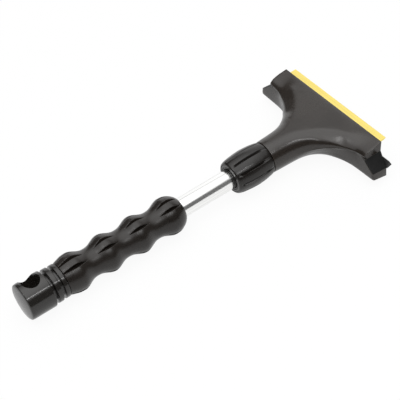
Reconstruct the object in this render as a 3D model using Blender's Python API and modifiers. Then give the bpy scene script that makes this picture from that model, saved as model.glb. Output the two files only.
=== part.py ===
"""Telescopic ice scraper with a brass blade, a twist-lock handle and a fluted grip.

Each object in the scene is one piece of the real thing. Sizes are in millimetres in a
handle frame: s along the handle towards the head, y across it, z up from its axis. The
head's own numbers fix the frame, and the handle is chained to it from the neck backwards.
"""

import math

import bmesh
import bpy
from mathutils import Matrix, Vector

MM = 0.001

# Clearances.
GAP = 0.3  # between pieces that are fixed to each other
SLIDE = 0.3  # between a bearing and what slides in it
TURN = 0.4  # between the nut and what it turns on

# Head: its deck, the ledge below the deck, and the wider foot that carries the lip.
NECK_R = 15.8
DECK_FRONT = (174.0, 15.5)
DECK_HALF = 70.0
DECK_EDGE_Z = 8.8
LEDGE_Z = 5.3
FRONT_LEDGE = (172.4, LEDGE_Z)
FRONT_FOOT_TOP = (168.3, -4.9)
FRONT_FOOT = (167.0, -13.3)
FOOT_HALF = 83.0
FOOT_FLARE = 2.5  # how much the foot's ends lean outwards, top to bottom
FOOT_TOP_HALF = FOOT_HALF - FOOT_FLARE
FOOT_TOP_Z = -3.2
FOOT_BOTTOM_Z = -10.6
SOCKET_END_S = 122.5
NECK_SCREW_S = 108.0

# The head's sections from the neck to the end of a wing: the rear edge at deck level, the same
# edge at the foot, and the opposite point on the spine or the front edge, each as s and a share
# of the half width there, then how far the section has changed from the round neck to the wing.
HEAD_RIBS = (
    ((92.8, 0.000), (92.8, 0.000), (92.8, 0.000), 0.00),
    ((99.0, 0.007), (99.0, 0.006), (99.0, 0.000), 0.00),
    ((105.0, 0.013), (105.0, 0.010), (105.5, 0.000), 0.03),
    ((110.5, 0.020), (110.5, 0.015), (112.0, 0.000), 0.10),
    ((116.0, 0.033), (116.0, 0.022), (120.0, 0.000), 0.20),
    ((121.5, 0.059), (121.5, 0.036), (129.0, 0.000), 0.34),
    ((127.0, 0.107), (127.5, 0.066), (139.0, 0.000), 0.50),
    ((132.5, 0.177), (133.0, 0.116), (150.0, 0.000), 0.66),
    ((137.5, 0.266), (138.5, 0.185), (162.0, 0.000), 0.80),
    ((142.0, 0.365), (143.0, 0.270), (174.0, 0.000), 0.90),
    ((146.0, 0.474), (146.5, 0.362), (174.0, 0.129), 0.97),
    ((149.2, 0.585), (148.8, 0.470), (174.0, 0.271), 1.00),
    ((151.6, 0.696), (149.9, 0.600), (174.0, 0.443), 1.00),
    ((153.0, 0.797), (150.2, 0.738), (174.0, 0.629), 1.00),
    ((153.5, 0.899), (150.3, 0.880), (174.0, 0.814), 1.00),
    ((153.7, 0.972), (150.5, 0.975), (174.0, 0.964), 1.00),
    ((154.0, 1.000), (151.2, 1.000), (174.0, 1.000), 1.00),
)
CORNER_RIB = 9  # the rib that ends where the spine meets the front edge
TOP_LINE = ((92.8, NECK_R), (99.0, 16.2), (139.0, 16.4), (162.0, 16.1), (174.0, DECK_FRONT[1]))
LOW_LINE = ((92.8, -NECK_R), (99.0, -16.2), (112.0, -16.4), (139.0, -15.2), (162.0, -13.8),
            (174.0, FRONT_FOOT[1]))
LOW_FRONT = ((92.8, 92.8), (150.0, 150.0), (162.0, 160.0), (174.0, FRONT_FOOT[0]))
DISH = (15.0, 6.0)  # reach of the dished rear edge at the arms, and what the wings add

# Brass blade, in a slot under the deck.
BLADE_HALF = DECK_HALF - 4.0
BLADE_X = (DECK_FRONT[0] - 8.2, DECK_FRONT[0] + 8.0)
BLADE_COVER = 2.7  # plastic above the slot
BLADE_THICKNESS = 1.6
BLADE_Z = (DECK_FRONT[1] - BLADE_COVER - BLADE_THICKNESS, DECK_FRONT[1] - BLADE_COVER)
BLADE_PIN_R = 1.5
BLADE_PIN_X = BLADE_X[0] + 2.8
BLADE_PIN_Y = (-BLADE_HALF * 2 / 3, 0.0, BLADE_HALF * 2 / 3)

# Lip: a wedge along the foot's front edge, held by a barbed tongue.
LIP_HALF = FOOT_HALF - 1.5
LIP_TIP = (FRONT_FOOT_TOP[0] + 5.9, FRONT_FOOT_TOP[1] + 0.5)
LIP_TONGUE_HALF = FOOT_HALF - 9.0
LIP_TONGUE_X = FRONT_FOOT_TOP[0] - 5.8
LIP_TONGUE_Z = (FRONT_FOOT_TOP[1], FRONT_FOOT_TOP[1] + 3.4)
LIP_TOP_Z = LIP_TONGUE_Z[1] + 2.7
LIP_BOTTOM_Z = LIP_TONGUE_Z[0] - 1.3
LIP_BARB = 0.5
LIP_BARB_X = (LIP_TONGUE_X + 1.3, LIP_TONGUE_X + 2.7)

# Pockets under the head, on each side of a middle rib and between two more.
POCKET_FLOOR_Z = -20.0
POCKET_RIB = 4.4
POCKET_WALL = 3.5
POCKET_RIBS_Y = (FOOT_HALF * 0.31, FOOT_HALF * 0.6235)
POCKET_END_Y = FOOT_TOP_HALF - 4.5
POCKET_FRONT_X = LIP_TONGUE_X - 3.1
POCKET_CEILINGS = (9.5, 5.2, -3.2)

# Tubes: the inner one fills the outer one but for a bush and its clearances.
OUTER_TUBE_R = 9.5
TUBE_WALL = 1.0
BUSH_WALL = 0.9
OUTER_TUBE_BORE = OUTER_TUBE_R - TUBE_WALL
INNER_TUBE_R = OUTER_TUBE_BORE - BUSH_WALL - 2 * SLIDE
INNER_TUBE_BORE = INNER_TUBE_R - TUBE_WALL
OUTER_TUBE_LENGTH = 217.4

# Twist lock, behind the neck.
NUT_LENGTH = 39.9
NUT_FRONT_S = HEAD_RIBS[0][0][0] - TURN
NUT_S = (NUT_FRONT_S - NUT_LENGTH, NUT_FRONT_S)
OUTER_TUBE_FRONT_S = NUT_S[1] - 18.7
OUTER_TUBE_S = (OUTER_TUBE_FRONT_S - OUTER_TUBE_LENGTH, OUTER_TUBE_FRONT_S)
THREAD_ROOT_R = OUTER_TUBE_R + 2.7
THREAD_R = THREAD_ROOT_R + 0.8
THREAD_PITCH = 3.0
THREAD_RIDGES = 4
NUT_R = THREAD_R + 5.25
NUT_SHAPE = ((0.000, 3.55), (0.018, 2.75), (0.075, 1.85), (0.163, 1.15), (0.271, 0.65),
             (0.388, 0.20), (0.519, 0.00), (0.639, 0.20), (0.767, 0.65), (0.865, 1.25),
             (0.965, 2.05), (0.992, 2.55), (1.000, 3.05))  # share of the length, drop below NUT_R
NUT_BARREL = tuple((NUT_S[0] + NUT_LENGTH * share, NUT_R - drop) for share, drop in NUT_SHAPE)
FLUTES = 10
FLUTE_PHASE = 20.5
FLUTE_DEPTH = 1.5
FLUTE_HALF_WIDTH = 1.25
COLLET_S = (NUT_S[0] + 3.9, NUT_S[1] - 4.0)
COLLET_TIP_R = INNER_TUBE_R + 2.6
COLLET_SLIT = 1.2
COLLET_PIN_S = COLLET_S[0] + 5.1
FRONT_BUSH_S = (OUTER_TUBE_S[1] - 27.7, OUTER_TUBE_S[1] - GAP)
PIN_R = 1.5

# Grip rings and end cap, at the rear end of the outer tube. They and the grip sit turned a
# little about the handle against the head.
GRIP_TWIST = 14.0
GRIP_BOTTOM = GRIP_TWIST + 180.0
RING_R = (16.6, 16.3)
RING_REAR_S = OUTER_TUBE_S[0] - 0.1
RING_S = (RING_REAR_S, RING_REAR_S + 5.0, RING_REAR_S + 8.2, RING_REAR_S + 11.8)
RING_NECK_R = RING_R[1] - 1.9
CAP_R = 17.6
CAP_LENGTH = 25.2
CAP_FRONT_S = RING_S[0] - 2.4
CAP_S = (CAP_FRONT_S - CAP_LENGTH, CAP_FRONT_S)
CAP_RIM = 1.5
DOME_RISE = 2.8
DOME_TIP_S = CAP_S[0] - DOME_RISE
HANG_HOLE_S = CAP_S[0] + 14.4
HANG_HOLE_R = 7.8
CAP_SCREW_S = (RING_S[1] + RING_S[2]) / 2
SPIGOT_END_S = RING_S[3] + 0.5

# Guide bush, in the rear end of the inner tube.
GUIDE_HEAD_REAR_S = SPIGOT_END_S + 1.5
GUIDE_HEAD_S = (GUIDE_HEAD_REAR_S, GUIDE_HEAD_REAR_S + 6.0)
GUIDE_SPIGOT_END_S = GUIDE_HEAD_S[1] + 14.0
GUIDE_BORE = 3.2
BUSH_PIN_S = GUIDE_HEAD_S[1] + 7.0
SWIVEL_GROOVE_DEPTH = 1.4
INNER_TUBE_S = (GUIDE_HEAD_S[1] + GAP, SOCKET_END_S - 0.5)

# Grip: bulges at an even pitch, a tapered tail and a rounded nose, and V grooves all along.
GRIP_REAR_S = RING_S[3] + 0.8
BULGES = 4
BULGE_PITCH = 33.1
BULGE_R = (18.6, 18.1, 18.1, 18.1)
VALLEY_R = 13.6
GRIP_TAIL = ((0.0, 3.0), (1.0, 2.6), (5.2, 1.3), (9.2, 0.3), (13.7, 0.0))  # s, drop below the bulge
GRIP_NOSE = ((11.0, 0.973), (8.0, 0.858), (5.0, 0.662), (2.8, 0.459), (1.2, 0.257), (0.3, 0.095),
             (0.0, 0.0))  # distance from the front end, share of the bulge
BULGE_S = tuple(GRIP_REAR_S + GRIP_TAIL[-1][0] + BULGE_PITCH * i for i in range(BULGES))
GRIP_S = (GRIP_REAR_S, BULGE_S[-1] + 14.2)
GRIP_TIP_R = OUTER_TUBE_R + 1.2
GROOVE_TURNS = (-45.0, -15.0, 15.0, 45.0)
GROOVE_FLOOR_R = 13.9
GROOVE_FLARE = 0.4  # half width gained for each millimetre above the floor

# Screws: how far out the head stands, its height, the tip's distance from the axis, the radii.
CAP_SCREW = (RING_NECK_R - 0.2, 1.8, 3.0, 2.6, 1.6)
NECK_SCREW = (NECK_R - 0.6, 2.3, 3.4, 3.2, 1.7)

# Where the handle frame sits: the middle of the length at x = 0, the grip's underside at z = 0.
CENTRE_S = (BLADE_X[1] + DOME_TIP_S) / 2
AXIS_Z = max(BULGE_R) - 0.1

PARTS = "ice_scraper"
CUTTERS = "cutters"
STEPS_LARGE = 32
STEPS_TUBE = 28
STEPS_SMALL = 12
BULGE_STATIONS = 7  # sections along one pitch of the grip

COLOURS = {
    "plastic": ((0.028, 0.026, 0.024, 1.0), 0.0, 0.38),
    "grip": ((0.022, 0.021, 0.020, 1.0), 0.0, 0.52),
    "rubber": ((0.030, 0.030, 0.030, 1.0), 0.0, 0.70),
    "aluminium": ((0.86, 0.86, 0.85, 1.0), 1.0, 0.22),
    "brass": ((0.85, 0.62, 0.24, 1.0), 1.0, 0.28),
    "steel": ((0.60, 0.60, 0.60, 1.0), 1.0, 0.35),
    "nylon": ((0.74, 0.72, 0.66, 1.0), 0.0, 0.45),
}


def placed(point):
    """A point of the handle frame, in metres in the world."""
    s, y, z = point
    return Vector(((s - CENTRE_S) * MM, y * MM, (z + AXIS_Z) * MM))


def radial(s, radius, degrees):
    """The point at this distance from the handle axis, at an angle from straight up towards +y."""
    turn = math.radians(degrees)
    return (s, radius * math.sin(turn), radius * math.cos(turn))


def along(table, s):
    """The value at s of a table of (s, value) pairs, straight between them."""
    for (s0, v0), (s1, v1) in zip(table, table[1:]):
        if s <= s1:
            return v0 + (v1 - v0) * (s - s0) / (s1 - s0)
    return table[-1][1]


def finish_mesh(name, bm, matrix=None):
    """An object made of a finished bmesh."""
    mesh = bpy.data.meshes.new(name)
    bm.to_mesh(mesh)
    bm.free()
    obj = bpy.data.objects.new(name, mesh)
    if matrix is not None:
        obj.matrix_world = matrix
    bpy.data.collections[PARTS].objects.link(obj)
    return obj


def dress(obj, kind):
    """Gives a piece a material of its own."""
    colour, metallic, roughness = COLOURS[kind]
    material = bpy.data.materials.new(obj.name + "_material")
    material.use_nodes = True
    shader = material.node_tree.nodes["Principled BSDF"]
    shader.inputs["Base Color"].default_value = colour
    shader.inputs["Metallic"].default_value = metallic
    shader.inputs["Roughness"].default_value = roughness
    material.diffuse_color = colour
    obj.data.materials.clear()
    obj.data.materials.append(material)
    return obj


def as_cutter(obj):
    """Moves a helper out of the render, so that it isn't a piece."""
    bpy.data.collections[PARTS].objects.unlink(obj)
    bpy.data.collections[CUTTERS].objects.link(obj)
    obj.hide_render = True
    obj.display_type = "WIRE"
    return obj


def boolean(target, other, operation="DIFFERENCE"):
    modifier = target.modifiers.new(operation.lower() + "_" + other.name, "BOOLEAN")
    modifier.operation = operation
    modifier.solver = "EXACT"
    modifier.object = other


def ring_profile(outer, inner):
    """The closed section of a hollow turned piece, from two lines of (s, r) with s rising."""
    return list(reversed(outer)) + list(inner), True


def solid_profile(line):
    """The open section of a solid turned piece, closed on the axis at both ends."""
    points = [(line[0][0], 0.0)] + list(line) + [(line[-1][0], 0.0)]
    return list(reversed(points)), False


def turned(name, profile, steps, origin=(0.0, 0.0, 0.0), direction=(1.0, 0.0, 0.0)):
    """A piece turned about the line through origin along direction, by a Screw modifier."""
    points, closed = profile
    bm = bmesh.new()
    verts = [bm.verts.new((radius * MM, 0.0, distance * MM)) for distance, radius in points]
    for first, second in zip(verts, verts[1:]):
        bm.edges.new((first, second))
    if closed:
        bm.edges.new((verts[-1], verts[0]))
    turn = Vector(direction).to_track_quat("Z", "Y").to_matrix().to_4x4()
    obj = finish_mesh(name, bm, Matrix.Translation(placed(origin)) @ turn)
    screw = obj.modifiers.new("screw", "SCREW")
    screw.axis = "Z"
    screw.angle = math.tau
    screw.steps = screw.render_steps = int(steps)
    screw.use_merge_vertices = True
    screw.merge_threshold = 0.000001
    return obj


def rod(name, radius, start, end, steps=STEPS_SMALL):
    """A plain pin between two points of the handle frame."""
    axis = Vector(end) - Vector(start)
    profile = solid_profile([(0.0, radius), (axis.length, radius)])
    return turned(name, profile, steps, start, axis)


def drill(target, radius, start, end, steps=STEPS_SMALL):
    name = f"{target.name}_hole_{len(target.modifiers)}"
    boolean(target, as_cutter(rod(name, radius, start, end, steps)))


def extrude(bm, points, rise):
    """Adds a straight prism to a bmesh: an outline of points carried along rise."""
    face = bm.faces.new([bm.verts.new(placed(point)) for point in points])
    grown = bmesh.ops.extrude_face_region(bm, geom=[face])["geom"]
    verts = [element for element in grown if isinstance(element, bmesh.types.BMVert)]
    bmesh.ops.translate(bm, vec=Vector(rise) * MM, verts=verts)


def bar(name, outline, half):
    """A bar across the handle, from -half to half in y, with this outline of (s, z) pairs."""
    bm = bmesh.new()
    extrude(bm, [(s, -half, z) for s, z in outline], (0.0, 2 * half, 0.0))
    bmesh.ops.recalc_face_normals(bm, faces=bm.faces)
    return finish_mesh(name, bm)


def slab(name, s_range, reach, thickness, turn):
    """A plate through the handle axis, turned about it."""
    bm = bmesh.new()
    bmesh.ops.create_cube(bm, size=MM)
    bmesh.ops.scale(bm, vec=(s_range[1] - s_range[0], thickness, 2 * reach), verts=bm.verts)
    centre = placed(((s_range[0] + s_range[1]) / 2, 0.0, 0.0))
    return finish_mesh(name, bm, Matrix.Translation(centre) @ Matrix.Rotation(-math.radians(turn), 4, "X"))


def grooves(name, stations, turns, floor_of, top_of, half_of):
    """Straight V grooves along the handle, as one cutter: a triangle carried along each."""
    bm = bmesh.new()
    for turn in turns:
        up = Vector(radial(0.0, 1.0, turn))
        side = Vector((1.0, 0.0, 0.0)).cross(up)
        rings = []
        for s in stations:
            base = Vector((s, 0.0, 0.0))
            corners = (base + up * floor_of(s),
                       base + up * top_of(s) + side * half_of(s),
                       base + up * top_of(s) - side * half_of(s))
            rings.append([bm.verts.new(placed(corner)) for corner in corners])
        for first, second in zip(rings, rings[1:]):
            for i in range(3):
                j = (i + 1) % 3
                bm.faces.new((first[i], first[j], second[j], second[i]))
        bm.faces.new(rings[0])
        bm.faces.new(rings[-1])
    bmesh.ops.recalc_face_normals(bm, faces=bm.faces)
    return as_cutter(finish_mesh(name, bm))


def grip_line():
    """The grip's outer line as (s, r) pairs, from the tail to the nose."""
    tail = [(GRIP_S[0] + s, BULGE_R[0] - drop) for s, drop in GRIP_TAIL]
    waves = []
    count = (BULGES - 1) * BULGE_STATIONS
    for i in range(1, count + 1):
        s = BULGE_S[0] + (BULGE_S[-1] - BULGE_S[0]) * i / count
        nearest = min(range(BULGES), key=lambda k: abs(BULGE_S[k] - s))
        wave = 0.5 + 0.5 * math.cos(math.tau * (s - BULGE_S[nearest]) / BULGE_PITCH)
        waves.append((s, VALLEY_R + (BULGE_R[nearest] - VALLEY_R) * max(0.0, wave) ** 1.25))
    nose = [(GRIP_S[1] - back, GRIP_TIP_R + (BULGE_R[-1] - GRIP_TIP_R) * share)
            for back, share in GRIP_NOSE]
    return tail + waves + nose


def make_grip():
    bore = OUTER_TUBE_R + GAP
    grip = turned("grip_sleeve", ring_profile(grip_line(), [(GRIP_S[0], bore), (GRIP_S[1], bore)]),
                  STEPS_LARGE)
    turns = [GRIP_TWIST + turn + half for half in (0.0, 180.0) for turn in GROOVE_TURNS]
    top = max(BULGE_R) + 1.4
    cutter = grooves("grip_grooves", (GRIP_S[0] - 1.0, GRIP_S[1] + 1.0), turns,
                     lambda s: GROOVE_FLOOR_R, lambda s: top,
                     lambda s: (top - GROOVE_FLOOR_R) * GROOVE_FLARE)
    boolean(grip, cutter)
    return dress(grip, "grip")


def cap_line():
    """The end cap's outer line: a low dome, the cylinder, the shoulder and the spigot."""
    spigot = OUTER_TUBE_BORE - GAP
    crown = 3.0
    line = [(DOME_TIP_S, crown)]
    for i in range(1, 6):
        radius = crown + (CAP_R - CAP_RIM - crown) * i / 6
        line.append((DOME_TIP_S + CAP_RIM * (radius / CAP_R) ** 2 - 0.04, radius))
    line += [(CAP_S[0] - 1.3, CAP_R - CAP_RIM), (CAP_S[0] - 0.8, CAP_R - 0.6), (CAP_S[0], CAP_R),
             (CAP_S[1] - 0.8, CAP_R), (CAP_S[1], CAP_R - 0.8), (CAP_S[1], RING_NECK_R),
             (RING_S[0] - GAP, RING_NECK_R), (RING_S[0] - GAP, spigot), (SPIGOT_END_S - 0.6, spigot),
             (SPIGOT_END_S, spigot - 0.6)]
    return line


def make_end_cap():
    cap = turned("end_cap", solid_profile(cap_line()), STEPS_LARGE)
    mouth = [(CAP_R - 4.6, 0.0), (CAP_R - 2.8, 0.2), (CAP_R - 1.2, 0.8), (CAP_R, 1.9), (CAP_R + 6.4, 5.2)]
    half = [(distance, HANG_HOLE_R + flare) for distance, flare in mouth]
    hole = [(-distance, radius) for distance, radius in reversed(half)] + half
    axis = Vector(radial(0.0, 1.0, GRIP_TWIST))
    boolean(cap, as_cutter(turned("hang_hole", solid_profile(hole), 24, (HANG_HOLE_S, 0.0, 0.0), axis)))
    tip, shank_r = CAP_SCREW[2], CAP_SCREW[4]
    drill(cap, shank_r + GAP, radial(CAP_SCREW_S, OUTER_TUBE_R, GRIP_BOTTOM),
          radial(CAP_SCREW_S, tip - 2 * GAP, GRIP_BOTTOM))
    return dress(cap, "plastic")


def make_grip_ring():
    bore = OUTER_TUBE_R + GAP
    rear, front = RING_R
    outer = [(RING_S[0], rear - 0.6), (RING_S[0] + 0.6, rear), (RING_S[1] - 0.6, rear),
             (RING_S[1], rear - 0.6), (RING_S[1], RING_NECK_R), (RING_S[2], RING_NECK_R),
             (RING_S[2], front - 0.5), (RING_S[2] + 0.5, front), (RING_S[3] - 0.5, front),
             (RING_S[3], front - 0.5)]
    ring = turned("grip_ring", ring_profile(outer, [(RING_S[0], bore), (RING_S[3], bore)]), STEPS_LARGE)
    screw_hole(ring, "cap_screw_hole", CAP_SCREW_S, GRIP_BOTTOM, CAP_SCREW, OUTER_TUBE_R - 1.5)
    return dress(ring, "plastic")


def screw_hole(target, name, s, turn, screw, start):
    """A stepped hole along a screw, from this distance off the axis outwards."""
    head_out, head_height, _, head_r, shank_r = screw
    seat = head_out - head_height - 0.2
    steps = [(0.0, shank_r + GAP), (seat - start, shank_r + GAP), (seat - start, head_r + 0.35),
             (head_out + 3.0 - start, head_r + 0.35)]
    cutter = turned(name, solid_profile(steps), STEPS_SMALL, radial(s, start, turn), radial(0.0, 1.0, turn))
    boolean(target, as_cutter(cutter))


def make_screw(name, s, turn, screw):
    """A pan-head screw driven in towards the handle axis, with a cross recess."""
    head_out, head_height, tip, head_r, shank_r = screw
    start = radial(s, head_out, turn)
    axis = Vector((s, 0.0, 0.0)) - Vector(start)
    line = [(0.0, head_r - 0.5), (0.4, head_r), (head_height, head_r), (head_height, shank_r),
            (head_out - tip - 1.2, shank_r), (head_out - tip, 0.5)]
    obj = turned(name, solid_profile(line), STEPS_SMALL, start, axis)
    for k in range(2):
        across = Matrix.Rotation(math.radians(90.0 * k + 20.0), 4, axis.normalized())
        side = across @ Vector((1.0, 0.0, 0.0)) * (head_r * 0.62)
        middle = Vector(radial(s, head_out - 0.1, turn))
        slot = rod(f"{name}_recess_{k}", 0.5, middle - side, middle + side, 8)
        boolean(obj, as_cutter(slot))
    return dress(obj, "steel")


def make_tube(name, radius, ends):
    bore = radius - TUBE_WALL
    profile = ring_profile([(ends[0], radius), (ends[1], radius)], [(ends[0], bore), (ends[1], bore)])
    return dress(turned(name, profile, STEPS_TUBE), "aluminium")


def make_tubes():
    outer = make_tube("outer_tube", OUTER_TUBE_R, OUTER_TUBE_S)
    drill(outer, CAP_SCREW[4] + GAP, radial(CAP_SCREW_S, OUTER_TUBE_BORE - 1.5, GRIP_BOTTOM),
          radial(CAP_SCREW_S, OUTER_TUBE_R + 2.5, GRIP_BOTTOM))
    cross_drill(outer, PIN_R + GAP, COLLET_PIN_S, OUTER_TUBE_R + 2.5)
    inner = make_tube("inner_tube", INNER_TUBE_R, INNER_TUBE_S)
    cross_drill(inner, PIN_R + GAP, BUSH_PIN_S, INNER_TUBE_R + 2.0)
    drill(inner, NECK_SCREW[4] + GAP, (NECK_SCREW_S, 0.0, -INNER_TUBE_R - 2.0),
          (NECK_SCREW_S, 0.0, -INNER_TUBE_BORE + 3.0))


def cross_drill(target, radius, s, reach):
    """A hole right across the handle, from side to side."""
    drill(target, radius, (s, -reach, 0.0), (s, reach, 0.0))


def make_pins(name, s, inner, outer):
    """A pair of steel pins, one on each side of the handle, between these distances from its axis."""
    for side, sign in (("left", 1.0), ("right", -1.0)):
        pin = rod(f"{name}_{side}", PIN_R, (s, sign * inner, 0.0), (s, sign * outer, 0.0))
        dress(pin, "steel")


def make_bushes():
    outside = OUTER_TUBE_BORE - SLIDE
    inside = INNER_TUBE_R + SLIDE
    front = ring_profile([(FRONT_BUSH_S[0], outside), (FRONT_BUSH_S[1], outside)],
                         [(FRONT_BUSH_S[0], inside), (FRONT_BUSH_S[1], inside)])
    bush = turned("front_bush", front, STEPS_TUBE)
    cross_drill(bush, PIN_R + GAP, COLLET_PIN_S, OUTER_TUBE_R + 2.5)
    dress(bush, "nylon")
    spigot = INNER_TUBE_BORE - GAP
    floor = spigot - SWIVEL_GROOVE_DEPTH
    half = PIN_R + SLIDE
    outer = [(GUIDE_HEAD_S[0], outside - 0.8), (GUIDE_HEAD_S[0] + 0.8, outside), (GUIDE_HEAD_S[1], outside),
             (GUIDE_HEAD_S[1], spigot), (BUSH_PIN_S - half, spigot), (BUSH_PIN_S - half, floor),
             (BUSH_PIN_S + half, floor), (BUSH_PIN_S + half, spigot),
             (GUIDE_SPIGOT_END_S - 0.8, spigot), (GUIDE_SPIGOT_END_S, spigot - 0.8)]
    bore = [(GUIDE_HEAD_S[0], GUIDE_BORE), (GUIDE_SPIGOT_END_S, GUIDE_BORE)]
    dress(turned("guide_bush", ring_profile(outer, bore), STEPS_TUBE), "nylon")
    make_pins("bush_pin", BUSH_PIN_S, floor + GAP, INNER_TUBE_R - 0.1)


def make_collet():
    """The threaded sleeve on the tube's end, with a slit cone that the nut squeezes."""
    outer = [(COLLET_S[0], THREAD_ROOT_R)]
    for i in range(THREAD_RIDGES):
        start = COLLET_S[0] + 1.0 + THREAD_PITCH * i
        outer += [(start, THREAD_ROOT_R), (start + 0.8, THREAD_R), (start + 1.4, THREAD_R),
                  (start + 2.2, THREAD_ROOT_R)]
    shoulder = OUTER_TUBE_S[1] + 0.9
    outer += [(shoulder, THREAD_ROOT_R), (shoulder + 0.8, THREAD_ROOT_R - 0.6),
              (COLLET_S[1] - 0.5, COLLET_TIP_R), (COLLET_S[1], COLLET_TIP_R - 0.5)]
    step = OUTER_TUBE_S[1] + GAP
    bore = [(COLLET_S[0], OUTER_TUBE_R + GAP), (step, OUTER_TUBE_R + GAP), (step, INNER_TUBE_R + SLIDE),
            (COLLET_S[1], INNER_TUBE_R + SLIDE)]
    collet = turned("collet", ring_profile(outer, bore), 24)
    for turn in (45.0, 135.0):
        slit = slab(f"collet_slit_{turn:.0f}", (shoulder + 2.0, COLLET_S[1] + 2.0), THREAD_R + 1.0,
                    COLLET_SLIT, turn)
        boolean(collet, as_cutter(slit))
    cross_drill(collet, PIN_R + GAP, COLLET_PIN_S, THREAD_R + 2.0)
    dress(collet, "nylon")
    make_pins("collet_pin", COLLET_PIN_S, INNER_TUBE_R + SLIDE + 0.4, THREAD_ROOT_R - 0.4)


def make_lock_nut():
    """The fluted barrel nut, its retaining ring at the rear and its wiper ring at the front."""
    mouth = THREAD_R + TURN + 0.5
    chamber = THREAD_R + TURN + 0.1
    cone_s = OUTER_TUBE_S[1] + 1.5
    cone_end = COLLET_TIP_R + 1.0
    front_bore = INNER_TUBE_R + 0.8
    retainer_s = (NUT_S[0] + 0.6, NUT_S[0] + 3.4)
    wiper_s = (NUT_S[1] - 3.6, NUT_S[1] - 1.6)
    bore = [(NUT_S[0], mouth + 0.2), (NUT_S[0] + 0.4, mouth), (retainer_s[1] + GAP, mouth),
            (retainer_s[1] + GAP, chamber), (cone_s - 0.4, chamber), (cone_s, THREAD_ROOT_R + 0.3),
            (COLLET_S[1] - 0.2, cone_end), (wiper_s[1] + GAP, cone_end), (wiper_s[1] + GAP, front_bore),
            (NUT_S[1], front_bore)]
    nut = turned("lock_nut", ring_profile(NUT_BARREL, bore), STEPS_LARGE)
    fade_in = NUT_S[0] + 2.1
    stations = [fade_in] + [s for s, _ in NUT_BARREL if s > fade_in] + [NUT_S[1] + 0.6]
    turns = [FLUTE_PHASE + 360.0 * i / FLUTES for i in range(FLUTES)]
    lift = 1.2
    cutter = grooves("nut_flutes", stations, turns,
                     lambda s: along(NUT_BARREL, s) - FLUTE_DEPTH * (0.15 if s <= fade_in else 1.0),
                     lambda s: along(NUT_BARREL, s) + lift,
                     lambda s: FLUTE_HALF_WIDTH * (FLUTE_DEPTH + lift) / FLUTE_DEPTH)
    boolean(nut, cutter)
    dress(nut, "plastic")
    low, high = retainer_s
    hub = OUTER_TUBE_R + TURN
    face = [(low, mouth - 2.0), (low, mouth - 0.7), (low + 0.4, mouth - 0.3), (high, mouth - 0.3)]
    dish = [(low + 1.0, mouth - 2.4), (low + 1.0, hub + 0.4), (low + 1.4, hub), (high, hub)]
    dress(turned("nut_retainer", ring_profile(face, dish), STEPS_TUBE), "plastic")
    low, high = wiper_s
    rim = cone_end - 0.4
    wiper = [(low, INNER_TUBE_R + 0.9), (low, rim - 0.5), (low + 0.4, rim), (high - 0.4, rim),
             (high, rim - 0.5)]
    lips = [(low + 0.6, INNER_TUBE_R + 0.4), (high - 0.6, INNER_TUBE_R + 0.4), (high, INNER_TUBE_R + 0.9)]
    dress(turned("wiper_ring", ring_profile(wiper, lips), STEPS_TUBE), "rubber")


def rib_points(rib):
    """One section of the head, from the middle of the deck round the rear wall to the underside."""
    (deck_s, deck_share), (foot_s, foot_share), (spine_s, front_share), share = rib
    deck = Vector((deck_s, NECK_R + (DECK_HALF - NECK_R) * deck_share))
    foot_y = NECK_R + (FOOT_TOP_HALF - NECK_R) * foot_share
    flare = FOOT_FLARE * foot_share
    spine = Vector((spine_s, DECK_HALF * front_share))
    low = Vector((along(LOW_FRONT, spine_s), FOOT_HALF * front_share, along(LOW_LINE, spine_s)))
    top_z = along(TOP_LINE, spine_s)
    wing = max(0.0, (deck_share - 0.35) / 0.65)
    tip = max(0.0, (deck_share - 0.85) / 0.15)
    edge_z = DECK_EDGE_Z - 1.2 * (1.0 - wing) * (share > 0.0)
    reach = DISH[0] + DISH[1] * wing
    curve = 2.2 - 1.1 * tip
    length = (deck - spine).length
    inward = (spine - deck).normalized()
    points = []
    steps = [length, max(0.7 * length, 15.0), max(0.45 * length, 10.5), 7.5, 5.0, 3.2, 1.8, 0.8, 0.0]
    for k, inset in enumerate(steps):
        turn = math.radians(90.0 * k / 8.0)
        inset = min(inset, length)
        round_flat = spine + (deck - spine) * math.sin(turn)
        flat = round_flat.lerp(deck + inward * inset, share)
        crown = along(TOP_LINE, flat.x)
        wing_z = crown - (crown - edge_z) * (1.0 - min(inset, reach) / reach) ** curve
        points.append((flat.x, flat.y, (1.0 - share) * top_z * math.cos(turn) + share * wing_z))
    drop = FOOT_TOP_Z - LEDGE_Z
    fall = FOOT_BOTTOM_Z - FOOT_TOP_Z
    lower = [(LEDGE_Z, 0.0, 0.0), (LEDGE_Z + drop / 3, 1 / 3, 0.0), (LEDGE_Z + drop * 2 / 3, 2 / 3, 0.0),
             (FOOT_TOP_Z, 1.0, 0.0), (FOOT_TOP_Z + fall * 0.35, 1.0, 0.0),
             (FOOT_TOP_Z + fall * 0.7, 1.0, 0.0), (FOOT_BOTTOM_Z + 0.7, 1.0, 0.4), (FOOT_BOTTOM_Z, 1.0, 1.5)]
    for k, (wing_z, spread, inset) in enumerate(lower):
        turn = math.radians(90.0 + 90.0 * (k + 1) / 10.0)
        lean = flare * max(0.0, FOOT_TOP_Z - wing_z) / -fall
        foot = Vector((foot_s, foot_y + lean))
        inwards = (low.xy - foot).normalized()
        wall_flat = deck.lerp(foot, spread) + inwards * inset
        flat = (spine + (deck - spine) * math.sin(turn)).lerp(wall_flat, share)
        points.append((flat.x, flat.y, (1.0 - share) * -low.z * math.cos(turn) + share * wing_z))
    middle = Vector(points[-1]).lerp(low, 0.5)
    turn = math.radians(90.0 + 81.0)
    flat = spine + (deck - spine) * math.sin(turn)
    rounded = Vector((flat.x, flat.y, low.z * -math.cos(turn)))
    points.append(tuple(rounded.lerp(middle, share)))
    points.append(tuple(low))
    return points


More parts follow.
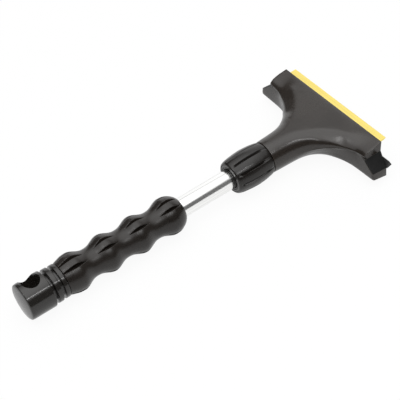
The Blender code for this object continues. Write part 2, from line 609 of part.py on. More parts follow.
def head_body():
    """The moulding without its cuts: one half lofted from the ribs, then mirrored."""
    bm = bmesh.new()
    ribs = [[bm.verts.new(placed((x, -y, z))) for x, y, z in rib_points(rib)] for rib in HEAD_RIBS]
    for first, second in zip(ribs, ribs[1:]):
        for k in range(len(first) - 1):
            bm.faces.new((first[k], first[k + 1], second[k + 1], second[k]))
    wall = []
    for i in range(CORNER_RIB, len(HEAD_RIBS)):
        front_share = HEAD_RIBS[i][2][1]
        upper = placed((FRONT_LEDGE[0], -DECK_HALF * front_share, FRONT_LEDGE[1]))
        lower = placed((FRONT_FOOT_TOP[0], -FOOT_TOP_HALF * front_share, FRONT_FOOT_TOP[1]))
        wall.append((ribs[i][0], bm.verts.new(upper), bm.verts.new(lower), ribs[i][-1]))
    for first, second in zip(wall, wall[1:]):
        for k in range(3):
            bm.faces.new((first[k], second[k], second[k + 1], first[k + 1]))
    end, front = ribs[-1], wall[-1]
    bm.faces.new(end[:10] + [front[1]])
    bm.faces.new(end[9:13] + [front[2], front[1]])
    bm.faces.new(end[12:] + [front[2]])
    bm.faces.new(ribs[0])
    bmesh.ops.recalc_face_normals(bm, faces=bm.faces)
    weight = bm.edges.layers.float.new("bevel_weight_edge")
    rim = [{a, b} for a, b in list(zip(end[:9], end[1:10])) + list(zip(end[12:17], end[13:18]))]
    for edge in bm.edges:
        if set(edge.verts) in rim:
            edge[weight] = 1.0
    head = finish_mesh("head", bm)
    mirror = head.modifiers.new("mirror", "MIRROR")
    mirror.use_axis = (False, True, False)
    mirror.merge_threshold = 0.000001
    return head


def pocket_outlines():
    """The pockets on one side, from the middle outwards, as (s, y) outlines with their ceilings."""
    half = POCKET_WALL / 2
    first, second = POCKET_RIBS_Y
    front = POCKET_FRONT_X
    low, high = POCKET_RIB / 2, first - half
    socket = SOCKET_END_S + 7.0
    middle = [(socket, low), (front, low), (front, high), (141.5, high), (134.0, 0.71 * high),
              (socket, high / 2)]
    low, high = first + half, second - half
    arm = [(145.5, low), (front, low), (front, high), (153.4, high), (150.8, low + 0.6 * (high - low))]
    low, high = second + half, POCKET_END_Y
    wing = [(153.0, low), (front, low), (front, high), (153.0, high)]
    return zip((middle, arm, wing), POCKET_CEILINGS)


def make_head():
    head = head_body()
    bevel = head.modifiers.new("soft_edges", "BEVEL")
    bevel.width = 0.35 * MM
    bevel.segments = 1
    bevel.limit_method = "WEIGHT"
    drill(head, INNER_TUBE_R + GAP, (NUT_S[1] - 2.0, 0.0, 0.0), (SOCKET_END_S, 0.0, 0.0), STEPS_TUBE)
    screw_hole(head, "neck_screw_hole", NECK_SCREW_S, 180.0, NECK_SCREW, INNER_TUBE_R - 2.0)
    slot = [(BLADE_X[0] - GAP, BLADE_Z[0] - GAP), (BLADE_X[1], BLADE_Z[0] - GAP),
            (BLADE_X[1], BLADE_Z[1] + GAP), (BLADE_X[0] - GAP, BLADE_Z[1] + GAP)]
    boolean(head, as_cutter(bar("blade_slot", slot, BLADE_HALF + GAP)))
    for y in BLADE_PIN_Y:
        drill(head, BLADE_PIN_R + GAP, (BLADE_PIN_X, y, LIP_TONGUE_Z[1] - 1.0),
              (BLADE_PIN_X, y, BLADE_Z[1] + 2 * GAP))
    boolean(head, as_cutter(bar("lip_slot", tongue_outline(GAP), LIP_TONGUE_HALF + GAP)))
    bm = bmesh.new()
    for outline, ceiling in pocket_outlines():
        for side in (1.0, -1.0):
            points = [(s, y * side, POCKET_FLOOR_Z) for s, y in outline]
            extrude(bm, points, (0.0, 0.0, ceiling - POCKET_FLOOR_Z))
    bmesh.ops.recalc_face_normals(bm, faces=bm.faces)
    boolean(head, as_cutter(finish_mesh("pockets", bm)))
    return dress(head, "plastic")


def tongue_outline(gap):
    """Section of the lip's barbed tongue, or of its slot when gap is over zero."""
    low, high = LIP_TONGUE_Z[0] - gap, LIP_TONGUE_Z[1] + gap
    back = LIP_TONGUE_X - gap
    barb_back, barb_front = LIP_BARB_X[0] - gap, LIP_BARB_X[1] + gap
    front = front_wall_x(LIP_TONGUE_Z[1]) + (2.3 if gap > 0.0 else 0.8)
    return [(back, low), (barb_back, low), (barb_back, low - LIP_BARB), (barb_front, low - LIP_BARB),
            (barb_front, low), (front, low), (front, high), (barb_front, high),
            (barb_front, high + LIP_BARB), (barb_back, high + LIP_BARB), (barb_back, high), (back, high)]


def front_wall_x(z):
    """Where the head's front wall stands at this height."""
    return along(((FRONT_FOOT[1], FRONT_FOOT[0]), (FRONT_FOOT_TOP[1], FRONT_FOOT_TOP[0]),
                  (FRONT_LEDGE[1], FRONT_LEDGE[0]), (DECK_FRONT[1], DECK_FRONT[0])), z)


def make_lip():
    outline = [(front_wall_x(LIP_BOTTOM_Z) + GAP, LIP_BOTTOM_Z), (LIP_TIP[0] - 0.4, LIP_TIP[1] - 0.5),
               (LIP_TIP[0], LIP_TIP[1]), (LIP_TIP[0] - 0.3, LIP_TIP[1] + 0.6),
               (front_wall_x(LIP_TOP_Z) + GAP + 0.6, LIP_TOP_Z), (front_wall_x(LIP_TOP_Z) + GAP, LIP_TOP_Z),
               (front_wall_x(FRONT_FOOT_TOP[1]) + GAP, FRONT_FOOT_TOP[1])]
    lip = bar("scraper_lip", outline, LIP_HALF)
    tongue = bar("lip_tongue", tongue_outline(0.0), LIP_TONGUE_HALF)
    boolean(lip, as_cutter(tongue), "UNION")
    return dress(lip, "rubber")


def make_blade():
    """The brass strip, with its working edge ground from below, and its pins."""
    back, edge = BLADE_X
    low, high = BLADE_Z
    outline = [(back, low), (edge - 3.0, low), (edge, high - 0.5), (edge, high - 0.15), (edge - 0.2, high),
               (back, high)]
    blade = bar("blade", outline, BLADE_HALF)
    for y in BLADE_PIN_Y:
        drill(blade, BLADE_PIN_R + GAP, (BLADE_PIN_X, y, low - 2.0), (BLADE_PIN_X, y, high + 2.0))
    dress(blade, "brass")
    for name, y in zip(("right", "middle", "left"), BLADE_PIN_Y):
        pin = rod(f"blade_pin_{name}", BLADE_PIN_R, (BLADE_PIN_X, y, LIP_TONGUE_Z[1] + 2 * GAP),
                  (BLADE_PIN_X, y, high + 0.2))
        dress(pin, "steel")


def joint_axis(name, s, nodes, parent=None):
    """An empty on the handle axis that carries the pieces which move together."""
    axis = bpy.data.objects.new(name, None)
    axis.empty_display_type = "ARROWS"
    axis.empty_display_size = 0.02
    axis.location = placed((s, 0.0, 0.0))
    bpy.data.collections[PARTS].objects.link(axis)
    bpy.context.view_layer.update()
    if parent is not None:
        hold(axis, parent)
    for node in nodes:
        hold(bpy.data.objects[node], axis)
    return axis


def hold(obj, parent):
    obj.parent = parent
    obj.matrix_parent_inverse = parent.matrix_world.inverted()


def main():
    for obj in list(bpy.data.objects):
        bpy.data.objects.remove(obj)
    for name in (PARTS, CUTTERS):
        bpy.context.scene.collection.children.link(bpy.data.collections.new(name))
    make_grip()
    make_end_cap()
    make_grip_ring()
    make_tubes()
    make_bushes()
    make_collet()
    make_lock_nut()
    make_head()
    make_lip()
    make_blade()
    make_screw("cap_screw", CAP_SCREW_S, GRIP_BOTTOM, CAP_SCREW)
    make_screw("neck_screw", NECK_SCREW_S, 180.0, NECK_SCREW)
    joint_axis("lock_turn_axis", NUT_S[0], ("lock_nut", "nut_retainer", "wiper_ring"))
    slide = joint_axis("telescope_axis", BUSH_PIN_S, ("guide_bush",))
    joint_axis("head_turn_axis", NUT_S[1] + TURN,
               ("inner_tube", "bush_pin_left", "bush_pin_right", "head", "neck_screw", "scraper_lip",
                "blade", "blade_pin_left", "blade_pin_middle", "blade_pin_right"), slide)


main()
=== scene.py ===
"""Dresses the telescopic ice scraper: fine meshes, finishes, a plain studio and the camera.

Lengths are in millimetres in a handle frame: s along the handle towards the head, y across it,
z up from its axis. The frame's own coordinates are metres, with the floor at z = 0.
"""

import logging
import math
from dataclasses import dataclass
from enum import Enum
from functools import cache
from typing import Iterable, Sequence

import bmesh
import bpy
from mathutils import Matrix, Vector


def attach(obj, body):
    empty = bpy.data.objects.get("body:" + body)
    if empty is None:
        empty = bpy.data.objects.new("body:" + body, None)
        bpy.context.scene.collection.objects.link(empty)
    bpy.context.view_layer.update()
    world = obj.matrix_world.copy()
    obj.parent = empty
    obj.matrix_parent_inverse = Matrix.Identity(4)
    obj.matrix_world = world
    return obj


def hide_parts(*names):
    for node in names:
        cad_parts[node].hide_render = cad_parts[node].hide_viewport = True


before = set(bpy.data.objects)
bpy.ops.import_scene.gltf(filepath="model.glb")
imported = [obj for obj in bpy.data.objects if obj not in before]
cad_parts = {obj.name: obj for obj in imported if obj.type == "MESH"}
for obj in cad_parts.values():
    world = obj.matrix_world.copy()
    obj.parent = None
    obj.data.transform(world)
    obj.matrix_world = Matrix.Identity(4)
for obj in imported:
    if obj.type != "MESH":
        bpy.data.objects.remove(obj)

MM = 0.001
CENTRE_S = 3.9
AXIS_Z = 18.5
SCREW_S = 108.0
PIN_S = 168.6
PIN_Y = 44.0
PIN_HOLE = ((0.0, 1.8),)

Point = tuple[float, float, float]
Pair = tuple[float, float]
Piece = bpy.types.Object
Vert = bmesh.types.BMVert
Node = bpy.types.Node
Socket = bpy.types.NodeSocket
Tree = bpy.types.NodeTree

log = logging.getLogger("ice_scraper")


class Body(Enum):
    """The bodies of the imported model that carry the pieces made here."""

    HANDLE = "handle"
    TWIST_LOCK = "twist_lock"
    HEAD = "scraper_head"


def placed(point: Sequence[float]) -> Vector:
    """Turns a point of the handle frame, in millimetres, into the frame's own coordinates."""
    return Vector(((point[0] - CENTRE_S) * MM, point[1] * MM, (point[2] + AXIS_Z) * MM))


def radial(s: float, radius: float, degrees: float) -> Point:
    """Finds the point at a radius from the handle axis, turned from straight up towards +y."""
    turn = math.radians(degrees)
    return (s, radius * math.sin(turn), radius * math.cos(turn))


def straight(table: Sequence[Pair], at: float) -> float:
    """Reads a table of (place, value) pairs, straight between them.

    Args:
        table: The pairs, with the places rising.
        at: The place.

    Returns:
        The value there.
    """
    for (s0, v0), (s1, v1) in zip(table, table[1:]):
        if at <= s1:
            return v0 + (v1 - v0) * (at - s0) / (s1 - s0)
    return table[-1][1]


def smooth(table: Sequence[Pair], at: float) -> float:
    """Reads a table of (place, value) pairs along a smooth curve that doesn't overshoot.

    Args:
        table: The pairs, with the places rising.
        at: The place.

    Returns:
        The value there.
    """
    count = len(table)
    steps = [(table[i + 1][1] - table[i][1]) / (table[i + 1][0] - table[i][0]) for i in range(count - 1)]
    slopes = [steps[0]]
    for a, b in zip(steps, steps[1:]):
        slopes.append(0.0 if a * b <= 0.0 else 2.0 * a * b / (a + b))
    slopes.append(steps[-1])
    index = min(max(sum(1 for s, _ in table if s <= at) - 1, 0), count - 2)
    (s0, v0), (s1, v1) = table[index], table[index + 1]
    width = s1 - s0
    t = min(max((at - s0) / width, 0.0), 1.0)
    return ((2 * t ** 3 - 3 * t ** 2 + 1) * v0 + (t ** 3 - 2 * t ** 2 + t) * width * slopes[index]
            + (3 * t ** 2 - 2 * t ** 3) * v1 + (t ** 3 - t ** 2) * width * slopes[index + 1])


def eased_step(low: float, high: float, at: float) -> float:
    """Rises smoothly from 0 at the low end to 1 at the high one."""
    share = min(max((at - low) / (high - low), 0.0), 1.0)
    return share * share * (3.0 - 2.0 * share)


def soft_min(a: float, b: float, blend: float) -> float:
    """Takes the lesser of two values, rounded over the blend's width where they cross."""
    h = max(blend - abs(a - b), 0.0) / blend
    return min(a, b) - h * h * blend * 0.25


def eased(corners: Sequence[tuple[float, ...]], count: int = 4) -> list[tuple[float, ...]]:
    """Rounds the corners of a line.

    Args:
        corners: Coordinates of each corner, followed by its rounding radius, or -1 for a plain point.
        count: Segments in each rounding.

    Returns:
        The line's points, with as many at each rounded corner whatever its radius.
    """
    points = [Vector(corner[:-1]) for corner in corners]
    line: list[tuple[float, ...]] = []
    for i, corner in enumerate(corners):
        radius = corner[-1]
        if radius < 0.0 or i in (0, len(corners) - 1):
            line.append(tuple(points[i]))
            continue
        back, ahead = points[i - 1] - points[i], points[i + 1] - points[i]
        turn = math.pi - back.angle(ahead)
        reach = min(radius * math.tan(turn / 2.0), 0.48 * back.length, 0.48 * ahead.length)
        start = points[i] + back.normalized() * reach
        end = points[i] + ahead.normalized() * reach
        for k in range(count + 1):
            t = k / count
            line.append(tuple(start * (1 - t) ** 2 + points[i] * 2 * t * (1 - t) + end * t ** 2))
    return line


def new_object(name: str, bm: bmesh.types.BMesh, sharp: float = 32.0) -> Piece:
    """Makes an object of a finished bmesh, shaded smooth but for its sharp edges.

    Args:
        name: The object's name.
        bm: The bmesh, which is freed.
        sharp: Angle in degrees from which an edge stays sharp.

    Returns:
        The new object.
    """
    bmesh.ops.remove_doubles(bm, verts=bm.verts, dist=1e-7)
    bmesh.ops.recalc_face_normals(bm, faces=bm.faces)
    mesh = bpy.data.meshes.new(name)
    bm.to_mesh(mesh)
    bm.free()
    mesh.shade_smooth()
    mesh.set_sharp_from_angle(angle=math.radians(sharp))
    obj = bpy.data.objects.new(name, mesh)
    bpy.context.scene.collection.objects.link(obj)
    return obj


def ribbon(bm: bmesh.types.BMesh, first: Sequence[Vert], second: Sequence[Vert]) -> None:
    """Joins two rings of points with a band of faces."""
    for i, j in zip(range(len(first)), [*range(1, len(first)), 0]):
        bm.faces.new((first[i], first[j], second[j], second[i]))


def skin(name: str, rings: Sequence[Sequence[Vector]], closed: bool = True,
         sharp: float = 32.0) -> Piece:
    """Stretches a surface over rings of points.

    Args:
        name: The object's name.
        rings: Rings with as many points each, in metres.
        closed: Whether the last ring is joined to the first.
        sharp: Angle in degrees from which an edge stays sharp.

    Returns:
        The new object.
    """
    bm = bmesh.new()
    rows = [[bm.verts.new(point) for point in ring] for ring in rings]
    for first, second in list(zip(rows, rows[1:])) + ([(rows[-1], rows[0])] if closed else []):
        ribbon(bm, first, second)
    return new_object(name, bm, sharp)


def turned(name: str, line: Sequence[Pair], steps: int = 96, closed: bool = True,
           place: Matrix | None = None, sharp: float = 32.0) -> Piece:
    """Turns a line about the handle axis, or about the z axis of a place.

    Args:
        name: The object's name.
        line: Pairs of distance along the axis and radius.
        steps: Points round the axis.
        closed: Whether the line's last point is joined to its first.
        place: Where the axis stands in the handle frame, in millimetres.
        sharp: Angle in degrees from which an edge stays sharp.

    Returns:
        The new object.
    """
    def point(distance: float, radius: float, i: int) -> Vector:
        """Finds one of the points round the axis.

        Args:
            distance: How far along the axis the point lies.
            radius: Its distance from the axis.
            i: Its number, counted round the axis.

        Returns:
            The point in the frame's own coordinates.
        """
        if place is None:
            return placed(radial(distance, radius, 360.0 * i / steps))
        turn = math.tau * i / steps
        return placed(place @ Vector((radius * math.cos(turn), radius * math.sin(turn), distance)))

    rings = [[point(distance, radius, i) for i in range(steps)] for distance, radius in line]
    return skin(name, rings, closed, sharp)


def bore(steps: Sequence[Pair], end: float, place: Matrix, points: int = 24) -> Piece:
    """Makes the cutter of a round hole, plain or stepped.

    Args:
        steps: Pairs of where each step starts along the hole and its radius.
        end: Where the last step ends.
        place: Where the hole's axis stands in the handle frame.
        points: Points round the axis.

    Returns:
        The cutter.
    """
    stops = [start for start, _ in steps[1:]] + [end]
    sides = [(at, radius) for (start, radius), stop in zip(steps, stops) for at in (start, stop)]
    return turned("bore", [(steps[0][0], 0.0), *sides, (end, 0.0)], points, closed=False, place=place)


def rounded_loop(corners: Sequence[tuple[float, ...]], radius: float) -> list[tuple[float, ...]]:
    """Rounds every corner of a closed outline alike."""
    return eased([(*corner, radius) for corner in (corners[-1], *corners, corners[0])], 3)[1:-1]


def prism(name: str, outline: Sequence[Point], rise: Point, steps: int = 1) -> Piece:
    """Carries an outline along a straight line.

    Args:
        name: The object's name.
        outline: The outline's points in the handle frame.
        rise: Where the outline is carried to, from where it is.
        steps: Lengths that the prism is cut into.

    Returns:
        The new object, closed at both ends.
    """
    bm = bmesh.new()
    rows = [[bm.verts.new(placed(Vector(point) + Vector(rise) * k / steps)) for point in outline]
            for k in range(steps + 1)]
    for first, second in zip(rows, rows[1:]):
        ribbon(bm, first, second)
    bm.faces.new(rows[0])
    bm.faces.new(rows[-1])
    return new_object(name, bm)


def bar(name: str, outline: Sequence[Pair], half: float, steps: int = 1) -> Piece:
    """Carries an outline of s and z straight across the handle, as far to each side as half says."""
    return prism(name, [(s, -half, z) for s, z in outline], (0.0, 2.0 * half, 0.0), steps)


def axis_place(origin: Sequence[float], direction: Sequence[float]) -> Matrix:
    """Gives the matrix that stands the z axis at an origin of the handle frame, in a direction."""
    return Matrix.Translation(origin) @ Vector(direction).to_track_quat("Z", "Y").to_matrix().to_4x4()


def carve(target: Piece, cutters: Iterable[Piece], sharp: float = 32.0,
          operation: str = "DIFFERENCE") -> None:
    """Cuts solids out of a piece, or joins them to it, and removes them.

    Args:
        target: The piece.
        cutters: The solids.
        sharp: Angle in degrees from which an edge stays sharp afterwards.
        operation: The Boolean modifier's operation.
    """
    cutters = list(cutters)
    for cutter in cutters:
        modifier = target.modifiers.new(cutter.name, "BOOLEAN")
        modifier.operation, modifier.solver, modifier.object = operation, "EXACT", cutter
    settle(target, sharp)
    for cutter in cutters:
        bpy.data.objects.remove(cutter)


def soften(target: Piece, width: float, segments: int, degrees: float) -> None:
    """Adds a rounding to the edges that bend by more than an angle.

    Args:
        target: The piece, whose modifiers are applied later.
        width: The rounding's width in millimetres.
        segments: Faces across it.
        degrees: The least angle of an edge that is rounded.
    """
    bevel = target.modifiers.new("soft_edges", "BEVEL")
    bevel.width, bevel.segments, bevel.use_clamp_overlap = width * MM, segments, False
    bevel.limit_method, bevel.angle_limit = "ANGLE", math.radians(degrees)


def settle(target: Piece, sharp: float = 32.0) -> None:
    """Applies a piece's modifiers to its mesh.

    Args:
        target: The piece.
        sharp: Angle in degrees from which an edge stays sharp afterwards.
    """
    bpy.context.view_layer.update()
    graph = bpy.context.evaluated_depsgraph_get()
    mesh = bpy.data.meshes.new_from_object(target.evaluated_get(graph))
    target.modifiers.clear()
    old, target.data = target.data, mesh
    bpy.data.meshes.remove(old)
    mesh.shade_smooth()
    mesh.set_sharp_from_angle(angle=math.radians(sharp))


def enlist(piece: Piece, body: Body, node: str, slot: str, *finishes: "Finish") -> None:
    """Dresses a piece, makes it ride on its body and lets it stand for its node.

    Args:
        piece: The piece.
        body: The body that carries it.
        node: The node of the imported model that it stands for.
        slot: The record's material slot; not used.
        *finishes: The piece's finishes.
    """
    faces = [polygon.material_index for polygon in piece.data.polygons]
    piece.data.materials.clear()
    for finish in finishes:
        piece.data.materials.append(finish.material())
    piece.data.polygons.foreach_set("material_index", [min(index, len(finishes) - 1) for index in faces])
    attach(piece, body.value)
    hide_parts(node)
    log.info("%s stands for %s, %d faces", piece.name, node, len(piece.data.polygons))


class Pen:
    """Adds nodes to a node tree and joins them."""

    def __init__(self, tree: Tree) -> None:
        """Keeps the tree that the nodes go into."""
        self.tree = tree

    def add(self, kind: str, values: dict[str, object] | None = None,
            **settings: object) -> Node:
        """Adds a node.

        Args:
            kind: The node's type, without the word ShaderNode.
            values: Values or outputs for its inputs, by name.
            **settings: Values for its other properties.

        Returns:
            The node.
        """
        node = self.tree.nodes.new("ShaderNode" + kind)
        for key, value in settings.items():
            setattr(node, key, value)
        for key, value in (values or {}).items():
            socket = node.inputs[key] if not key.isdigit() else node.inputs[int(key)]
            if isinstance(value, Socket):
                self.tree.links.new(value, socket)
            else:
                socket.default_value = value
        return node

    def math(self, operation: str, a: object, b: object = 0.0, clamp: bool = False) -> Socket:
        """Adds a Math node for two values or outputs, and gives its output."""
        return self.add("Math", {"0": a, "1": b}, operation=operation, use_clamp=clamp).outputs["Value"]

    def span(self, value: object, low: float, high: float, to_low: float,
             to_high: float) -> Socket:
        """Adds a smooth Map Range node.

        Args:
            value: The value or output to map.
            low: Where the range starts.
            high: Where it ends.
            to_low: What the start becomes.
            to_high: What the end becomes.

        Returns:
            The node's output.
        """
        node = self.add("MapRange", {"Value": value, "From Min": low, "From Max": high,
                                     "To Min": to_low, "To Max": to_high}, interpolation_type="SMOOTHSTEP")
        return node.outputs["Result"]

    def give(self, value: Socket) -> Tree:
        """Ends a node group with what it puts out.

        Args:
            value: The output of the group's last node.

        Returns:
            The group.
        """
        sink = self.tree.nodes.new("NodeGroupOutput")
        self.tree.links.new(value, sink.inputs[0])
        return self.tree


def effect(name: str, inputs: dict[str, float | None], output: tuple[str, str]) -> tuple[Pen, Node]:
    """Starts a node group with one output.

    Args:
        name: The group's name.
        inputs: Default value of each input by name, or None for a vector.
        output: The output's name and socket type.

    Returns:
        A pen for the group's nodes and the group's input node.
    """
    group = bpy.data.node_groups.new(name, "ShaderNodeTree")
    for label, default in inputs.items():
        if default is None:
            group.interface.new_socket(label, in_out="INPUT", socket_type="NodeSocketVector")
        else:
            socket = group.interface.new_socket(label, in_out="INPUT", socket_type="NodeSocketFloat")
            socket.default_value = default
    group.interface.new_socket(output[0], in_out="OUTPUT", socket_type=output[1])
    return Pen(group), group.nodes.new("NodeGroupInput")


@cache
def grain_group() -> Tree:
    """Makes the fine grain of moulded plastic over slow unevenness, as a normal.

    Returns:
        The node group.
    """
    pen, source = effect("moulding_grain", {"Scale": 2600.0, "Strength": 0.3}, ("Normal", "NodeSocketVector"))
    place = pen.add("TexCoord").outputs["Object"]
    fine = pen.add("TexNoise", {"Vector": place, "Scale": source.outputs["Scale"], "Detail": 3.0})
    slow = pen.add("TexNoise", {"Vector": place, "Scale": 70.0, "Detail": 1.0})
    swell = pen.math("MULTIPLY", slow.outputs["Fac"], 6.0)
    height = pen.math("ADD", fine.outputs["Fac"], swell)
    values = {"Height": height, "Strength": source.outputs["Strength"], "Distance": 0.02 * MM}
    return pen.give(pen.add("Bump", values).outputs["Normal"])


@cache
def handling_group() -> Tree:
    """Makes the broad smears and small marks of a handled surface, as a mask.

    Returns:
        The node group.
    """
    pen, source = effect("handling_marks", {"Amount": 1.0}, ("Mask", "NodeSocketFloat"))
    place = pen.add("TexCoord").outputs["Object"]
    stretch = pen.add("Mapping", {"Vector": place, "Scale": (0.6, 1.0, 1.0)})
    broad = pen.add("TexNoise", {"Vector": stretch.outputs["Vector"], "Scale": 38.0, "Detail": 4.0})
    small = pen.add("TexNoise", {"Vector": place, "Scale": 420.0, "Detail": 2.0})
    mixed = pen.math("ADD", pen.math("MULTIPLY", broad.outputs["Fac"], 0.7),
                     pen.math("MULTIPLY", small.outputs["Fac"], 0.3))
    return pen.give(pen.math("MULTIPLY", pen.span(mixed, 0.35, 0.65, 0.0, 1.0), source.outputs["Amount"]))


@cache
def edge_group() -> Tree:
    """Makes a patchy mask of the rubbed outer edges, from how sharply the surface bends outwards.

    Returns:
        The node group.
    """
    pen, source = effect("edge_rub", {"Amount": 1.0}, ("Mask", "NodeSocketFloat"))
    point = pen.add("NewGeometry").outputs["Pointiness"]
    edge = pen.span(point, 0.515, 0.56, 0.0, 1.0)
    place = pen.add("TexCoord").outputs["Object"]
    broken = pen.add("TexNoise", {"Vector": place, "Scale": 300.0, "Detail": 2.0})
    patchy = pen.math("MULTIPLY", edge, pen.span(broken.outputs["Fac"], 0.35, 0.6, 0.3, 1.0))
    return pen.give(pen.math("MULTIPLY", patchy, source.outputs["Amount"]))


@cache
def drawn_group() -> Tree:
    """Makes the fine lines that drawing or rolling leaves in metal, as a value.

    Returns:
        The node group.
    """
    pen, source = effect("drawn_lines", {"Stretch": None}, ("Value", "NodeSocketFloat"))
    place = pen.add("TexCoord").outputs["Object"]
    flat = pen.add("Mapping", {"Vector": place, "Scale": source.outputs["Stretch"]})
    values = {"Vector": flat.outputs["Vector"], "Scale": 1.0, "Detail": 3.0}
    return pen.give(pen.add("TexNoise", values).outputs["Fac"])


@dataclass(frozen=True)
class Finish:
    """A named finish on a Principled shader, with its common values."""

    name: str
    colour: Point
    roughness: float

    @cache
    def material(self) -> bpy.types.Material:
        """Gives the finish's material, which is made when it is first asked for."""
        return self.build()

    def build(self) -> bpy.types.Material:
        """Makes the material with its plain values alone."""
        return self.start()[0]

    def start(self, metallic: float = 0.0) -> tuple[bpy.types.Material, Pen, Node]:
        """Makes the material and sets its plain values.

        Args:
            metallic: The shader's metallic value.

        Returns:
            The material, a pen for its tree and its shader.
        """
        material = bpy.data.materials.new(self.name)
        material.use_nodes = True
        shader = material.node_tree.nodes["Principled BSDF"]
        shader.inputs["Metallic"].default_value = metallic
        shader.inputs["Base Color"].default_value = (*self.colour, 1.0)
        shader.inputs["Roughness"].default_value = self.roughness
        material.diffuse_color = (*self.colour, 1.0)
        return material, Pen(material.node_tree), shader

    def tint(self, pen: Pen, amount: object, light: float) -> Socket:
        """Mixes the finish's colour with a lighter one of the same hue.

        Args:
            pen: The pen of the material's tree.
            amount: The mask.
            light: How many times lighter the other colour is.

        Returns:
            The mixed colour.
        """
        pale = tuple(min(1.0, value * light) for value in self.colour)
        mix = pen.add("Mix", data_type="RGBA")
        colours = [socket for socket in mix.inputs if socket.type == "RGBA"]
        colours[0].default_value = (*self.colour, 1.0)
        colours[1].default_value = (*pale, 1.0)
        pen.tree.links.new(amount, mix.inputs["Factor"])
        return [socket for socket in mix.outputs if socket.type == "RGBA"][0]


@dataclass(frozen=True)
class MouldedPlastic(Finish):
    """Semi-gloss moulded plastic with a fine grain, smears and rubbed edges."""

    grain: float = 0.25
    grain_scale: float = 2600.0
    smears: float = 0.10
    rub: float = 0.5
    gloss: float = 0.5
    index: float = 1.54
    pale_smears: float = 0.25
    worn_light: float = 2.2

    def build(self) -> bpy.types.Material:
        """Makes the material.

        Returns:
            The material.
        """
        material, pen, shader = self.start()
        shader.inputs["Specular IOR Level"].default_value = self.gloss
        shader.inputs["IOR"].default_value = self.index
        marks = pen.add("Group", node_tree=handling_group())
        edges = pen.add("Group", node_tree=edge_group())
        edges.inputs["Amount"].default_value = self.rub
        pale = pen.math("MULTIPLY", marks.outputs["Mask"], self.pale_smears)
        worn = pen.math("ADD", pale, edges.outputs["Mask"], clamp=True)
        pen.tree.links.new(self.tint(pen, worn, self.worn_light), shader.inputs["Base Color"])
        rough = pen.math("ADD", pen.math("MULTIPLY", marks.outputs["Mask"], self.smears), self.roughness)
        pen.tree.links.new(rough, shader.inputs["Roughness"])
        grain = pen.add("Group", node_tree=grain_group())
        grain.inputs["Scale"].default_value = self.grain_scale
        grain.inputs["Strength"].default_value = self.grain
        pen.tree.links.new(grain.outputs["Normal"], shader.inputs["Normal"])
        return material


@dataclass(frozen=True)
class DrawnMetal(Finish):
    """Bright metal with the fine lines of drawing, rolling or grinding along one axis."""

    stretch: Point = (12.0, 900.0, 900.0)
    lines: float = 0.08
    relief: float = 0.15
    shade: float = 0.75

    def build(self) -> bpy.types.Material:
        """Makes the material.

        Returns:
            The material.
        """
        material, pen, shader = self.start(metallic=1.0)
        drawn = pen.add("Group", node_tree=drawn_group())
        drawn.inputs["Stretch"].default_value = self.stretch
        marks = pen.add("Group", node_tree=handling_group())
        rough = pen.math("ADD", pen.math("MULTIPLY", drawn.outputs["Value"], self.lines), self.roughness)
        rough = pen.math("ADD", rough, pen.math("MULTIPLY", marks.outputs["Mask"], self.lines * 0.6))
        pen.tree.links.new(rough, shader.inputs["Roughness"])
        dark = pen.math("MULTIPLY", pen.span(drawn.outputs["Value"], 0.3, 0.7, 0.0, 1.0), 0.5)
        pen.tree.links.new(self.tint(pen, dark, self.shade), shader.inputs["Base Color"])
        bump = pen.add("Bump", {"Height": drawn.outputs["Value"], "Strength": self.relief,
                                "Distance": 0.01 * MM})
        pen.tree.links.new(bump.outputs["Normal"], shader.inputs["Normal"])
        return material


class Finishes:
    """The finishes of this tool."""

    HEAD = MouldedPlastic("warm_black_head", (0.014, 0.0102, 0.0076), 0.18)
    GRIP = MouldedPlastic("warm_black_grip", (0.009, 0.0066, 0.005), 0.24, grain=0.35, gloss=0.4)
    COLLAR = MouldedPlastic("warm_black_collar", (0.007, 0.0056, 0.0046), 0.20, gloss=0.4)
    CAP = MouldedPlastic("glossy_black_cap", (0.009, 0.0078, 0.0066), 0.14, grain=0.12)
    RUBBER = MouldedPlastic("lip_rubber", (0.014, 0.014, 0.014), 0.55, grain=0.5, rub=0.2)
    # Painted shade: the end ledges get a darker, duller copy of the head plastic, standing in for the shade
    # they lie in.
    LEDGE_SHADE = MouldedPlastic("ledge_painted_shade", (0.008, 0.008, 0.008), 0.55, gloss=0.12)
    NYLON = MouldedPlastic("natural_nylon", (0.74, 0.72, 0.66), 0.42, rub=0.0)
    TUBE = DrawnMetal("bright_tube", (0.93, 0.93, 0.92), 0.12)
    BRASS = DrawnMetal("rolled_brass", (0.93, 0.755, 0.215), 0.26, stretch=(900.0, 14.0, 900.0), lines=0.12)
    STEEL = DrawnMetal("zinc_steel", (0.62, 0.63, 0.65), 0.30, stretch=(300.0, 300.0, 300.0))


